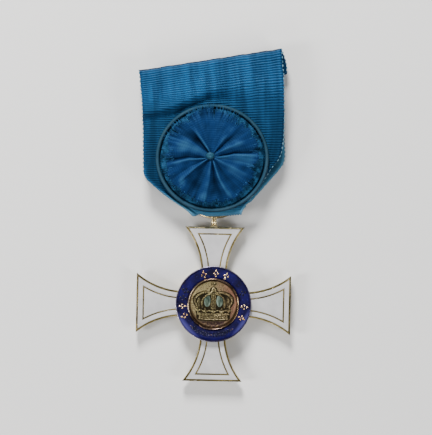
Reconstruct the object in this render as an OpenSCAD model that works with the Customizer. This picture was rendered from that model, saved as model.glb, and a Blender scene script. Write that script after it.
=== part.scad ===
// An enamelled breast cross on a folded ribbon with a pleated rosette.
// It lies on its back: +Y runs from the cross up to the ribbon's top fold, +Z faces the viewer,
// and the origin is under the middle of the whole piece, on the surface it lies on.

/* [Cross] */
// Width of the cross from arm end to arm end
cross_span = 42; // [40:0.5:44]
// Thickness of the gilt body at an arm
body_t = 2.2; // [1.8:0.1:2.6]
// Half the width of an arm at its waist
waist_half = 3.4; // [3:0.1:3.8]
// Radius of the hollow curve of an arm's flank
flank_r = 20.3; // [19:0.1:22]
// Width of the gilt line inside the enamel
line_w = 0.3; // [0.2:0.05:0.4]
// Width of the white border outside that line
border_w = 1.3; // [1:0.05:1.4]

/* [Medallion] */
// Radius of the medallion on each face of the cross
medallion_r = 10.3; // [9.6:0.1:10.4]
// Radius of the round wire between blue ring and centre
inner_wire_r = 6.8; // [6.5:0.1:7]
// Height of each medallion over the body's face
medallion_t = 1.28; // [1:0.02:1.6]

/* [Suspension] */
// Radius of the suspension ring, to the middle of its wire
ring_r = 8.9; // [8.5:0.1:9.3]
// Thickness of the ring's wire
ring_wire = 0.9; // [0.7:0.1:1]

/* [Ribbon] */
// Thickness of the ribbon's cloth
cloth_t = 1; // [0.8:0.1:1]
// Height of the crest over the diagonal crease in the ribbon
crest_h = 1.5; // [0.5:0.1:2]

/* [Rosette] */
// Half the width of the rosette over its rim
rosette_half_w = 15.35; // [15:0.05:15.6]
// Half the height of the rosette over its rim
rosette_half_h = 14.65; // [14.4:0.05:15]
// Thickness of the silk-covered rim
rim_t = 1.1; // [1:0.05:1.2]
// Radius of the pleated silk
fan_r = 12.8; // [12:0.1:12.9]
// Height of the folds in the pleated silk
pleat_h = 1.5; // [1:0.1:1.6]

/* [Pin] */
// Length of the brooch pin behind the ribbon
pin_len = 28; // [24:1:32]

/* [Hidden] */
$fn = 96;
// Play round an inlay, between pieces that rest on each other, and under the rosette
gap = 0.02;
play = 0.1;
rosette_play = 0.15;

// Heights and outlines of the cross
cross_y = -24.4;
mid_z = medallion_t + body_t / 2;
back_z = mid_z - body_t / 2;
face_z = mid_z + body_t / 2;
reach = cross_span / 2;
waist_at = 8;
flank_x = waist_half + flank_r;
edge_cut = 0.3;
rim_w = 0.18;
border_in = edge_cut + rim_w;
border_out = border_in + border_w;
panel_in = border_out + line_w;
enamel_t = 0.5;
enamel_low = 0.04;
recess_from = 9.2;
hub_r = 8.6;

// The medallion's lip, inner wire and plate, and how far the blue ring swells
lip_w = 0.35;
lip_drop = 0.15;
wire_w = 0.4;
wire_drop = 0.1;
plate_t = 0.43;
ring_drop = 0.2;
ring_dome = 0.22;

// The eye on the top arm, with the suspension ring through it
eye_h = 2.69;
eye_wire_r = 0.34;
eye_mid = ring_wire / 2 + play + eye_wire_r;
eye_foot = cross_y + reach;
eye_top = eye_foot + eye_h;
eye_low = eye_foot + 0.15 + eye_mid + eye_wire_r;
solder_r = 2.1;
solder_h = 0.45;
solder_t = 1.1;
ring_pos = [-0.3, eye_top + ring_r, mid_z];

// The rosette's layers, from the ribbon's front upwards
front_z = 5.35;
rosette_pos = [-1.15, 15.25];
rosette_z = front_z + cloth_t / 2 + rosette_play;
backing_r = 13.3;
backing_t = 1;
fan_pos = [-1.3, 15.6];
fan_z = rosette_z + backing_t + cloth_t + play;
button_pos = [-1.7, 15.8];
button_r = 1.15;
button_h = 0.9;
button_z = fan_z + 0.2 * pleat_h + play;

// The brooch pin, turned with the ribbon's slanting top fold
pin_turn = 9.9;
pin_pos = [-1, 37.3];
pin_wire = 0.8;
pin_plate = [2.6, 0.6];
pin_h = 2.35;

ARMS = [["top", 0], ["left", 90], ["bottom", 180], ["right", 270]];

// The outline of the arm that points along +Y, drawn in from the edge by an even inset
module arm_outline(inset = 0) {
    half = reach / 2;
    difference() {
        translate([-half, 0])
            square([2 * half, reach - inset]);
        for (side = [-1, 1])
            translate([side * flank_x, waist_at])
                circle(flank_r + inset);
    }
}

// The tool that cuts an arm's flank with a slanting edge above and below
module flank_cutter() {
    over = 0.2;
    cylinder(h = body_t + 1, r = flank_r, center = true);
    for (face = [0, 1])
        mirror([0, 0, face])
            translate([0, 0, body_t / 2 - edge_cut])
                cylinder(h = edge_cut + over, r1 = flank_r, r2 = flank_r + edge_cut + over);
}

// One arm of the gilt body, its end and flanks with slanting edges
module arm_block() {
    half_t = body_t / 2;
    profile = [
        [0, -half_t], [reach - edge_cut, -half_t], [reach, edge_cut - half_t],
        [reach, half_t - edge_cut], [reach - edge_cut, half_t], [0, half_t]
    ];
    difference() {
        translate([-reach / 2, 0, 0])
            rotate([90, 0, 90])
                linear_extrude(reach)
                    polygon(profile);
        for (side = [-1, 1])
            translate([side * flank_x, waist_at, 0])
                flank_cutter();
    }
}

// The enamel border's shape round three sides of an arm
module border_shape(shrink = 0) {
    difference() {
        arm_outline(border_in + shrink);
        arm_outline(border_out - shrink);
        circle(recess_from + shrink);
    }
}

// The enamel panel's shape inside the gilt line
module panel_shape(shrink = 0) {
    difference() {
        arm_outline(panel_in + shrink);
        circle(recess_from + shrink);
    }
}

// Puts children on the cross's middle plane, turned to one arm, on one of its faces
module on_arm(turn, face = 1) {
    translate([0, cross_y, mid_z])
        rotate([0, 0, turn])
            mirror([0, 0, face > 0 ? 0 : 1])
                children();
}

// A round wire bent to a long loop in the YZ plane, between two points on the Y axis
module wire_loop(from, to, mid, wire) {
    room = mid + 2 * wire;
    for (side = [-1, 1])
        translate([0, from, side * mid])
            rotate([-90, 0, 0])
                cylinder(h = to - from, r = wire);
    for (end = [[from, -1], [to, 1]])
        translate([0, end[0], 0])
            intersection() {
                rotate([0, 90, 0])
                    rotate_extrude()
                        translate([mid, 0])
                            circle(wire);
                translate([-2 * wire, end[1] > 0 ? 0 : -room, -room])
                    cube([4 * wire, room, 2 * room]);
            }
}

// The eye on the top arm: two wire loops side by side, with a bead of solder at their foot
module eyelet() {
    translate([ring_pos[0], 0, mid_z]) {
        for (side = [-1, 1])
            translate([side * (eye_wire_r - 0.01), 0, 0])
                wire_loop(eye_low, eye_top, eye_mid, eye_wire_r);
        translate([0, eye_foot + solder_h - solder_r, 0])
            cylinder(h = solder_t, r = solder_r, center = true);
    }
}

module cross_body() {
    color("goldenrod") {
        difference() {
            union() {
                for (arm = ARMS)
                    on_arm(arm[1])
                        arm_block();
                translate([0, cross_y, back_z])
                    cylinder(h = body_t, r = hub_r);
            }
            for (arm = ARMS, face = [-1, 1])
                on_arm(arm[1], face)
                    translate([0, 0, body_t / 2 - enamel_t])
                        linear_extrude(enamel_t + 1) {
                            border_shape();
                            panel_shape();
                        }
        }
        eyelet();
    }
}

// One piece of white enamel in an arm's recess
module enamel_border(turn, face) {
    color("ghostwhite")
        on_arm(turn, face)
            translate([0, 0, body_t / 2 - enamel_t + gap])
                linear_extrude(enamel_t - enamel_low - gap)
                    border_shape(gap);
}

module enamel_panel(turn, face) {
    color("ghostwhite")
        on_arm(turn, face)
            translate([0, 0, body_t / 2 - enamel_t + gap])
                linear_extrude(enamel_t - enamel_low - gap)
                    panel_shape(gap);
}

// The medallion's gilt carrier as a turned profile: a plate, an outer lip and the round wire
module carrier(centre_h) {
    bevel = 0.15;
    lip_top = medallion_t - lip_drop;
    lip_in = medallion_r - lip_w;
    crown_w = wire_w / 5;
    wire_top = medallion_t - wire_drop;
    wire_in = inner_wire_r - wire_w / 2;
    wire_out = inner_wire_r + wire_w / 2;
    rotate_extrude()
        polygon([
            [0, gap], [medallion_r - bevel, gap], [medallion_r, gap + bevel],
            [medallion_r, lip_top - bevel], [medallion_r - bevel, lip_top], [lip_in, lip_top],
            [lip_in, plate_t], [wire_out, plate_t], [wire_out, wire_top],
            [inner_wire_r + crown_w, medallion_t], [inner_wire_r - crown_w, medallion_t],
            [wire_in, wire_top], [wire_in, centre_h], [0, centre_h]
        ]);
}

// The blue ring, a little higher in its middle
module blue_ring() {
    in_r = inner_wire_r + wire_w / 2 + gap;
    out_r = medallion_r - lip_w - gap;
    edge_h = medallion_t - ring_drop - ring_dome;
    mid_r = (in_r + out_r) / 2;
    half = (out_r - in_r) / 2;
    dome_r = (half * half + ring_dome * ring_dome) / (2 * ring_dome);
    rotate_extrude()
        intersection() {
            translate([in_r, plate_t + gap])
                square([2 * half, medallion_t]);
            translate([mid_r, edge_h + ring_dome - dome_r])
                circle(dome_r);
        }
}

module medallion_front() {
    color("goldenrod")
        translate([0, cross_y, face_z])
            carrier(plate_t);
}

module medallion_back() {
    color("goldenrod")
        translate([0, cross_y, back_z])
            mirror([0, 0, 1])
                carrier(medallion_t);
}

module enamel_ring_front() {
    color("midnightblue")
        translate([0, cross_y, face_z])
            blue_ring();
}

module enamel_ring_back() {
    color("midnightblue")
        translate([0, cross_y, back_z])
            mirror([0, 0, 1])
                blue_ring();
}

// The arches that spring from the crown's band, as [distance of the centre, radius]
ARCHES = [[2.75, 2.6], [1.95, 1.75]];
arch_w = 0.5;
arch_y = 0.75;

// The crown's other parts: heights over the medallion's middle, and half widths of its band
crown_foot = -4.15;
crown_brow = -2.7;
crown_leaves = -1.8;
foot_half = 4;
brow_half = 4.4;
leaves_half = 4.8;
leaf_r = 0.75;
orb_y = 3.75;
orb_r = 0.8;
finial_y = 5.45;
finial_half = [0.75, 0.8];
finial_w = 0.5;
column_w = 1.2;

// The band, the row of leaves, the arches and the orb with its small cross
module crown_outline() {
    polygon([
        [-foot_half, crown_foot], [foot_half, crown_foot], [brow_half, crown_brow],
        [leaves_half, crown_leaves], [-leaves_half, crown_leaves], [-brow_half, crown_brow]
    ]);
    for (step = [-2 : 2])
        translate([step * 2.1, crown_leaves + 0.2])
            circle(leaf_r);
    for (side = [-1, 1], arch = ARCHES)
        translate([side * arch[0], arch_y])
            difference() {
                circle(arch[1]);
                circle(arch[1] - arch_w);
            }
    translate([-column_w / 2, crown_brow])
        square([column_w, orb_y - crown_brow]);
    translate([0, orb_y])
        circle(orb_r);
    translate([-finial_w / 2, orb_y])
        square([finial_w, finial_y + finial_half[1] - orb_y]);
    translate([-finial_half[0], finial_y - finial_w / 2])
        square([2 * finial_half[0], finial_w]);
}

// The cloth caps under the arches
module crown_caps() {
    for (side = [-1, 1])
        translate([side * ARCHES[0][0], arch_y])
            circle(ARCHES[0][1]);
}

module crown_disc() {
    disc_r = inner_wire_r - wire_w / 2 - gap;
    disc_t = 0.3;
    bevel = 0.3;
    cap_t = 0.15;
    crown_t = 0.4;
    color("darkgoldenrod")
        translate([0, cross_y, face_z + plate_t + gap]) {
            cylinder(h = disc_t, r1 = disc_r, r2 = disc_r - bevel);
            translate([0, 0, disc_t - gap]) {
                linear_extrude(cap_t + gap)
                    crown_caps();
                linear_extrude(crown_t + gap)
                    crown_outline();
            }
        }
}

module suspension_ring() {
    color("gold")
        translate(ring_pos)
            rotate_extrude()
                translate([ring_r, 0])
                    circle(ring_wire / 2);
}

// Columns of the ribbon's rows: y and z where the row crosses its middle, its left and right
// ends, its slope and its sag
Y = 0;
Z = 1;
LEFT = 2;
RIGHT = 3;
SLOPE = 4;
SAG = 5;

// The tail behind the top fold, from its end upwards
TAIL = [
    [33.0, 3.05, -17.6, 18.7, 0.300, 0],
    [37.1, 3.05, -19.2, 18.4, 0.245, 0],
    [40.7, 3.05, -20.9, 17.6, 0.190, 0]
];

// Over the slanting top fold
TOP_FOLD = [
    [41.7, 3.55, -21.3, 17.2, 0.176, 0],
    [42.05, 4.25, -21.4, 17.1, 0.175, 0],
    [41.7, 5.0, -21.35, 17.1, 0.174, 0]
];

// Down the front, which narrows below the rosette
FRONT = [
    [40.5, 5.45, -21.2, 17.2, 0.172, 0],
    [38.0, 5.5, -21.0, 17.4, 0.160, 0],
    [35.4, 5.5, -20.7, 17.7, 0.150, 0],
    [33.4, 5.45, -20.5, 17.8, 0.130, 0],
    [31.6, 5.4, -20.4, 17.9, 0.100, 0],
    [29.6, 5.35, -20.3, 18.0, 0.075, 0],
    [26.6, 5.35, -20.2, 18.1, 0.050, 0],
    [22.6, 5.35, -20.0, 18.1, 0.035, 0],
    [18.6, 5.35, -19.9, 17.8, 0.020, 0],
    [15.2, 5.35, -19.8, 16.9, 0.020, 0],
    [12.4, 5.35, -19.7, 14.7, 0.010, 0],
    [9.8, 5.35, -19.3, 13.1, 0, 0],
    [7.4, 5.35, -16.8, 11.5, 0, 0],
    [5.0, 5.35, -13.9, 9.8, 0, 0],
    [2.6, 5.36, -10.5, 8.3, 0, 0.001],
    [0.9, 5.38, -7.8, 7.4, 0.010, 0.003]
];

// Round the lobe in front of the ring
LOBE = [
    [0.2, 5.2, -6.6, 7.1, 0.030, 0.005],
    [-0.03, 4.76, -5.9, 7.0, 0.035, 0.007],
    [0.2, 4.32, -5.6, 6.8, 0.035, 0.01],
    [0.9, 4.14, -5.3, 5.9, 0.020, 0.022]
];

// Back through the ring, drawn together
THROUGH_RING = [
    [1.45, 3.8, -5.1, 4.9, 0, 0.028],
    [1.55, 3.1, -5.0, 4.7, 0, 0.028],
    [1.6, 2.4, -5.0, 4.8, 0, 0.028],
    [1.75, 1.75, -5.3, 5.2, 0, 0.023],
    [2.15, 1.28, -6.2, 6.1, 0, 0.015],
    [3.0, 1.06, -8.0, 7.7, 0, 0.005]
];

// Up the back, over the pin
BACK = [
    [4.4, 1.05, -10.6, 9.4, 0, -0.009],
    [6.4, 1.05, -13.6, 11.1, 0, -0.008],
    [9.0, 1.05, -17.0, 13.4, 0, -0.005],
    [11.0, 1.05, -19.2, 15.3, 0, -0.003],
    [14.3, 1.05, -19.7, 18.0, 0, -0.0015],
    [16.4, 1.1, -19.7, 18.6, 0, 0],
    [18.6, 1.3, -19.75, 18.5, 0, 0],
    [21.0, 2.2, -19.8, 18.3, 0.010, 0],
    [24.0, 3.6, -19.8, 18.0, 0.020, 0],
    [27.0, 4.25, -19.8, 17.8, 0.040, 0],
    [31.5, 4.25, -19.8, 17.5, 0.060, 0],
    [36.0, 4.25, -20.0, 17.2, 0.090, 0]
];

RIBBON_ROWS = concat(TAIL, TOP_FOLD, FRONT, LOBE, THROUGH_RING, BACK);
front_first = len(TAIL) + len(TOP_FOLD);
front_last = front_first + len(FRONT) - 1;
row_steps = 2;
row_points = 13;
sag_x = ring_pos[0];

// The crease over the rosette, from left to right: where its crest lies, how high it is, and how
// far its lower side reaches
CREST = [
    [-22, 27.0, 1, 2.1], [-16, 27.9, 1, 2.1], [-11.6, 29.3, 1, 2.1], [-7.5, 31.2, 0.95, 2.1],
    [-3, 33.2, 0.8, 2.4], [1.4, 34.3, 0.6, 3.6], [6, 34.6, 0.5, 5.4], [10, 34.6, 0.45, 8.5],
    [20, 34.6, 0.4, 12]
];
crest_above = 7.5;

// The index of the table's last row whose first column is at or before a value
function row_at(table, value, i = 0) =
    i >= len(table) - 2 || table[i + 1][0] > value ? i : row_at(table, value, i + 1);

function between(table, value, column) =
    let (i = row_at(table, value),
         share = (value - table[i][0]) / (table[i + 1][0] - table[i][0]))
    table[i][column] + (table[i + 1][column] - table[i][column]) * max(0, min(1, share));

function bump(x) = x <= -1 || x >= 1 ? 0 : (1 + cos(180 * x)) / 2;

// How far the crease lifts the ribbon's front at a place
function crease(x, y) =
    let (off = y - between(CREST, x, 1))
    crest_h * between(CREST, x, 2) * bump(off / (off > 0 ? crest_above : between(CREST, x, 3)));

// A smooth value between the middle two of four
function smooth(a, b, c, d, t) =
    0.5 * (2 * b + (c - a) * t + (2 * a - 5 * b + 4 * c - d) * t * t
        + (3 * b - a - 3 * c + d) * t * t * t);

function clamp_row(i) = max(0, min(len(RIBBON_ROWS) - 1, i));

function ribbon_row(v) =
    let (i = min(floor(v), len(RIBBON_ROWS) - 2), t = v - i)
    [for (column = [Y : SAG])
        smooth(RIBBON_ROWS[clamp_row(i - 1)][column], RIBBON_ROWS[i][column],
            RIBBON_ROWS[i + 1][column], RIBBON_ROWS[clamp_row(i + 2)][column], t)];

// The middle of the cloth at row v and at a share u of the row, from left to right
function ribbon_point(u, v) =
    let (row = ribbon_row(v),
         x = row[LEFT] + (row[RIGHT] - row[LEFT]) * u,
         y = row[Y] + row[SLOPE] * x + row[SAG] * (x - sag_x) * (x - sag_x),
         on_front = v >= front_first && v <= front_last ? 1 : 0)
    [x, y, row[Z] + on_front * crease(x, y)];

function unit(v) = v / norm(v);

function ribbon_normal(u, v) =
    let (du = 0.01, dv = 0.05, last = len(RIBBON_ROWS) - 1,
         along = ribbon_point(u, min(last, v + dv)) - ribbon_point(u, max(0, v - dv)),
         across = ribbon_point(min(1, u + du), v) - ribbon_point(max(0, u - du), v))
    unit(cross(along, across));

// The faces of a closed slab from two grids of points, the upper one first
function grid_faces(rows, columns) =
    let (w = columns + 1, under = (rows + 1) * (columns + 1))
    concat(
        [for (i = [0 : rows - 1], j = [0 : columns - 1], half = [0, 1])
            let (a = i * w + j, b = a + 1, c = a + w + 1, d = a + w)
            half == 0 ? [a, b, c] : [a, c, d]],
        [for (i = [0 : rows - 1], j = [0 : columns - 1], half = [0, 1])
            let (a = under + i * w + j, b = a + 1, c = a + w + 1, d = a + w)
            half == 0 ? [c, b, a] : [d, c, a]],
        [for (i = [0 : rows - 1], end = [0, 1], half = [0, 1])
            let (a = i * w + end * columns, b = a + w)
            end == 0
                ? (half == 0 ? [a, b, b + under] : [a, b + under, a + under])
                : (half == 0 ? [b, a, a + under] : [b, a + under, b + under])],
        [for (j = [0 : columns - 1], end = [0, 1], half = [0, 1])
            let (a = end * rows * w + j, b = a + 1)
            end == 0
                ? (half == 0 ? [b, a, a + under] : [b, a + under, b + under])
                : (half == 0 ? [a, b, b + under] : [a, b + under, a + under])]
    );

module ribbon() {
    rows = (len(RIBBON_ROWS) - 1) * row_steps;
    upper = [for (i = [0 : rows], j = [0 : row_points])
        let (v = i / row_steps, u = j / row_points)
        ribbon_point(u, v) + ribbon_normal(u, v) * cloth_t / 2];
    lower = [for (i = [0 : rows], j = [0 : row_points])
        let (v = i / row_steps, u = j / row_points)
        ribbon_point(u, v) - ribbon_normal(u, v) * cloth_t / 2];
    color("steelblue")
        polyhedron(concat(upper, lower), grid_faces(rows, row_points));
}

module rosette_backing() {
    color("navy")
        translate([rosette_pos[0], rosette_pos[1], rosette_z])
            cylinder(h = backing_t, r = backing_r);
}

// The rim: a round tube bent to an oval
module rosette_rim() {
    stations = 72;
    sides = 10;
    tube = rim_t / 2;
    rx = rosette_half_w - tube;
    ry = rosette_half_h - tube;
    points = [for (i = [0 : stations - 1], j = [0 : sides - 1])
        let (a = 360 * i / stations, b = 360 * j / sides,
             out = unit([cos(a) / rx, sin(a) / ry]))
        [rosette_pos[0] + rx * cos(a) + out[0] * tube * cos(b),
         rosette_pos[1] + ry * sin(a) + out[1] * tube * cos(b),
         rosette_z + tube + tube * sin(b)]];
    faces = [for (i = [0 : stations - 1], j = [0 : sides - 1], half = [0, 1])
        let (n = (i + 1) % stations, m = (j + 1) % sides,
             a = i * sides + j, b = n * sides + j, c = n * sides + m, d = i * sides + m)
        half == 0 ? [c, b, a] : [d, c, a]];
    color("slategray")
        polyhedron(points, faces);
}

// The folds of the pleated silk: each fold's direction, its height, and how deep the silk
// dips before the next one, both as shares of the pleat height
FOLDS = [
    [3, 1.0, 0.75], [28, 0.85, 0.8], [65, 0.75, 0.35], [125, 1.0, 1.0], [148, 0.9, 0.8],
    [187, 0.8, 0.55], [214, 0.95, 0.5], [260, 0.8, 0.85], [292, 0.85, 0.6], [333, 0.9, 0.7],
    [363, 1.0, 0.75]
];

function fold_angle(a) = a < FOLDS[0][0] ? a + 360 : a;

// Height of the silk at an angle, from 0 in the deepest dip to 1 on the highest fold
function fold_height(a) =
    let (at = fold_angle(a), i = row_at(FOLDS, at),
         share = (at - FOLDS[i][0]) / (FOLDS[i + 1][0] - FOLDS[i][0]),
         line = FOLDS[i][1] + (FOLDS[i + 1][1] - FOLDS[i][1]) * share)
    line - FOLDS[i][2] * pow(sin(180 * share), 0.7);

// From the button out to the silk's edge: the share of its radius, how it swells there,
// and how tall its folds are
FAN_RINGS = [
    [0, 0.05, 0], [0.12, 0.12, 0.1], [0.19, 0.34, 0.65], [0.31, 0.42, 0.85],
    [0.51, 0.4, 0.8], [0.7, 0.32, 0.6], [0.87, 0.22, 0.45], [1, 0.12, 0.32]
];

function silk_z(share, a) =
    pleat_h
        * (between(FAN_RINGS, share, 1) + between(FAN_RINGS, share, 2) * (fold_height(a) - 0.3));

module rosette_fan() {
    sectors = 120;
    rings = [for (i = [1 : len(FAN_RINGS) - 1]) FAN_RINGS[i][0]];
    ring_points = [for (share = rings, k = [0 : sectors - 1])
        let (a = 360 * k / sectors, r = share * fan_r)
        [fan_pos[0] + r * cos(a), fan_pos[1] + r * sin(a), fan_z + silk_z(share, a)]];
    upper = concat([[fan_pos[0], fan_pos[1], fan_z + silk_z(0, 0)]], ring_points);
    lower = [for (p = upper) p - [0, 0, cloth_t]];
    under = len(upper);
    last = 1 + (len(rings) - 1) * sectors;
    faces = concat(
        [for (k = [0 : sectors - 1]) let (n = (k + 1) % sectors) [0, 1 + n, 1 + k]],
        [for (k = [0 : sectors - 1]) let (n = (k + 1) % sectors)
            [under, under + 1 + k, under + 1 + n]],
        [for (i = [0 : len(rings) - 2], k = [0 : sectors - 1], half = [0, 1])
            let (n = (k + 1) % sectors, a = 1 + i * sectors + k, b = 1 + i * sectors + n,
                 c = b + sectors, d = a + sectors)
            half == 0 ? [a, b, c] : [a, c, d]],
        [for (i = [0 : len(rings) - 2], k = [0 : sectors - 1], half = [0, 1])
            let (n = (k + 1) % sectors, a = under + 1 + i * sectors + k,
                 b = under + 1 + i * sectors + n, c = b + sectors, d = a + sectors)
            half == 0 ? [c, b, a] : [d, c, a]],
        [for (k = [0 : sectors - 1], half = [0, 1])
            let (n = (k + 1) % sectors, a = last + k, b = last + n)
            half == 0 ? [a, b, b + under] : [a, b + under, a + under]]
    );
    color("steelblue")
        polyhedron(concat(upper, lower), faces);
}

// The button: a low dome with a straight edge
module rosette_button() {
    edge = 0.3;
    rise = button_h - edge;
    dome_r = (button_r * button_r + rise * rise) / (2 * rise);
    color("cadetblue")
        translate([button_pos[0], button_pos[1], button_z])
            rotate_extrude()
                intersection() {
                    square([button_r, button_h]);
                    translate([0, button_h - dome_r])
                        circle(dome_r);
                }
}

// The brooch pin: a bar sewn behind the top fold with a straight needle under it
module brooch_pin() {
    half = pin_len / 2;
    post = 1.2;
    color("silver")
        translate([pin_pos[0], pin_pos[1], 0])
            rotate([0, 0, pin_turn]) {
                translate([-half, -pin_plate[0] / 2, pin_h - pin_plate[1]])
                    cube([pin_len, pin_plate[0], pin_plate[1]]);
                for (end = [-1, 1])
                    translate([end * (half - post / 2) - post / 2, -post / 2, 0])
                        cube([post, post, pin_h - pin_plate[1] / 2]);
                translate([-half + post / 2, 0, pin_wire / 2])
                    rotate([0, 90, 0])
                        cylinder(h = pin_len - post, r = pin_wire / 2);
            }
}

cross_body();
for (arm = ARMS) {
    enamel_border(arm[1], 1);
    enamel_panel(arm[1], 1);
    enamel_border(arm[1], -1);
    enamel_panel(arm[1], -1);
}
medallion_front();
medallion_back();
enamel_ring_front();
enamel_ring_back();
crown_disc();
suspension_ring();
ribbon();
rosette_backing();
rosette_rim();
rosette_fan();
rosette_button();
brooch_pin();
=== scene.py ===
import contextlib
import math
import random

import bmesh
import bpy
import numpy as np
from mathutils import Matrix, Vector


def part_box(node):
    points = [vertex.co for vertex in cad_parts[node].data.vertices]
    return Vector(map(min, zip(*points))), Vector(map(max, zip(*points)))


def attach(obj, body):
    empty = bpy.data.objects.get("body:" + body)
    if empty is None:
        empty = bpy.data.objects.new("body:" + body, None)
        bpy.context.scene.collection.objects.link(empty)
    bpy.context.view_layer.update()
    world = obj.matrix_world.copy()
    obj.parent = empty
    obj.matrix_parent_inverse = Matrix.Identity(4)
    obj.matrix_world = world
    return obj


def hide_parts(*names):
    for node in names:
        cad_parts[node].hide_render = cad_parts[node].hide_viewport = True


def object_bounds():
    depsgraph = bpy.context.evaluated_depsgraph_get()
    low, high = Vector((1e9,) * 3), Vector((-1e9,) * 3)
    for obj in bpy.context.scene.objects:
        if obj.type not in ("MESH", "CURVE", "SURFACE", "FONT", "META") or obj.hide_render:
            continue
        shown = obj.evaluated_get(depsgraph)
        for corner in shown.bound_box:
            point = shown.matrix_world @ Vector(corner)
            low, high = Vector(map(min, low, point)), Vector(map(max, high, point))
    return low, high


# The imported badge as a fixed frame. Sizes below are in millimetres, and MM makes them metres.
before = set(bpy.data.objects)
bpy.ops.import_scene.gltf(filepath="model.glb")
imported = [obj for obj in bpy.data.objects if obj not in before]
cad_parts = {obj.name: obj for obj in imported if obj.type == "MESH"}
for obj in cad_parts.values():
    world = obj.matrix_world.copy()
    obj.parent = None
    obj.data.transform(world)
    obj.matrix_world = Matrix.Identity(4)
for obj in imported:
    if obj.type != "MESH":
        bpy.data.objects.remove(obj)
cad_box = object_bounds()
MM = 0.001


# The camera looks straight down on the badge, which lies a little askew in the picture.
# The picture is 432 by 435 pixels and shows 118.3 mm of the table from top to bottom.
PICTURE_HEIGHT = 118.3 * MM
PICTURE_CENTRE = (0.21 * MM, -0.82 * MM)
PICTURE_TURN = 1.2
FACE_HEIGHT = 3.5 * MM
LENS, SENSOR = 200, 36


def added(operator, **settings):
    """Adds an object by an operator, with nothing else selected."""
    bpy.ops.object.select_all(action="DESELECT")
    operator(**settings)
    return bpy.context.object


camera = added(bpy.ops.object.camera_add,
               location=(*PICTURE_CENTRE, FACE_HEIGHT + PICTURE_HEIGHT * LENS / SENSOR),
               rotation=(0, 0, math.radians(PICTURE_TURN)))
camera.data.lens = LENS
camera.data.sensor_width = SENSOR
bpy.context.scene.camera = camera


# The cross: four arms struck in one piece of bronze, with the eye soldered on the top arm, all
# fire-gilt. The gilding is bright on the bevelled edges and browner where the badge was wiped
# less. The enamel lies in recesses inside the rim.
GILT = (0.82, 0.67, 0.32)
TONED_GILT = (0.26, 0.2, 0.065)
GILT_GRAIN = 0.008
MERGE = 0.001 * MM
# In degrees: what counts as flat, as a corner to round, and as smooth once it is rounded.
FLAT_BELOW, CORNER_FROM, SMOOTH_BELOW = 0.3, 32, 40


def pick(piece):
    """Makes one piece the only selected and the active one."""
    bpy.ops.object.select_all(action="DESELECT")
    piece.select_set(True)
    bpy.context.view_layer.objects.active = piece


def placed(name, mesh):
    """A new object with a mesh, the only selected one."""
    piece = bpy.data.objects.new(name, mesh)
    bpy.context.scene.collection.objects.link(piece)
    pick(piece)
    return piece


def changed_by(kind, piece, **settings):
    """Applies one modifier with its settings to a piece."""
    pick(piece)
    bpy.ops.object.modifier_add(type=kind)
    change = piece.modifiers[-1]
    for label, value in settings.items():
        setattr(change, label, value)
    bpy.ops.object.modifier_apply(modifier=change.name)


@contextlib.contextmanager
def editing(action="SELECT"):
    """Edit mode on the active piece, with all of it selected, or nothing by DESELECT."""
    bpy.ops.object.mode_set(mode="EDIT")
    bpy.ops.mesh.select_all(action=action)
    yield
    bpy.ops.object.mode_set(mode="OBJECT")


def is_output(value):
    """Whether a value is a node's output, given as (node, name)."""
    return isinstance(value, tuple) and isinstance(value[0], bpy.types.Node)


def feed(value, node, socket):
    """Gives an input a plain value or a plain colour, or links it to an output."""
    target = node.inputs[socket]
    if isinstance(socket, str):
        target = next(s for s in node.inputs if s.enabled and s.name == socket)
    if is_output(value):
        source = next(s for s in value[0].outputs if s.enabled and s.name == value[1])
        node.id_data.links.new(source, target)
    else:
        target.default_value = (*value, 1) if target.type == "RGBA" else value


def add_node(kind, sockets, tree=None, **settings):
    """A new shader node in the tree given, or in the tree of what goes into its sockets."""
    tree = tree or next(value[0].id_data for value in sockets.values() if is_output(value))
    node = tree.nodes.new("ShaderNode" + kind)
    for label, value in settings.items():
        setattr(node, label, value)
    for socket, value in sockets.items():
        feed(value, node, socket)
    return node


def new_group(name, inputs):
    """An empty shader group, with its way in and its way out: colour, roughness and height."""
    tree = bpy.data.node_groups.new(name, "ShaderNodeTree")
    outputs = {"Color": "Color", "Roughness": "Float", "Height": "Float"}
    for way, sockets in (("INPUT", inputs), ("OUTPUT", outputs)):
        for label, kind in sockets.items():
            tree.interface.new_socket(label, in_out=way, socket_type="NodeSocket" + kind)
    return tree, tree.nodes.new("NodeGroupInput"), tree.nodes.new("NodeGroupOutput")


def own_place(node):
    """Where a point lies on its own piece, for the tree that the node is in."""
    return add_node("TexCoord", {}, node.id_data), "Object"


def along(place, axis):
    """How far along X, Y or Z a place lies."""
    return add_node("SeparateXYZ", {"Vector": place}), axis


def noise(place, scale, detail):
    """Cloudy noise with so many patches to the metre."""
    return add_node("TexNoise", {"Vector": place, "Scale": scale, "Detail": detail}), "Fac"


def stretch(source, low, high, to_low=0.0, to_high=1.0):
    """Spreads the values between low and high over another range."""
    return add_node("MapRange", {"Value": source, "From Min": low, "From Max": high,
                                 "To Min": to_low, "To Max": to_high}), "Result"


def mix(factor, a, b):
    """Mixes two colours. Each is an output or a plain colour, and the factor one or a number."""
    return add_node("Mix", {"Factor": factor, "A": a, "B": b}, data_type="RGBA"), "Result"


def new_material(name, **settings):
    """A material with plain values on its shader's own sockets, and its shader."""
    made = bpy.data.materials.new(name)
    made.use_nodes = True
    shader = made.node_tree.nodes["Principled BSDF"]
    for label, value in settings.items():
        feed(value, shader, label.replace("_", " "))
    return made, shader


def bump(height, shader, depth):
    """Lets a height, given in parts of a depth in millimetres, tilt the shader's normal."""
    tilt = add_node("Bump", {"Distance": depth * MM, "Height": height})
    feed((tilt, "Normal"), shader, "Normal")


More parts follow.
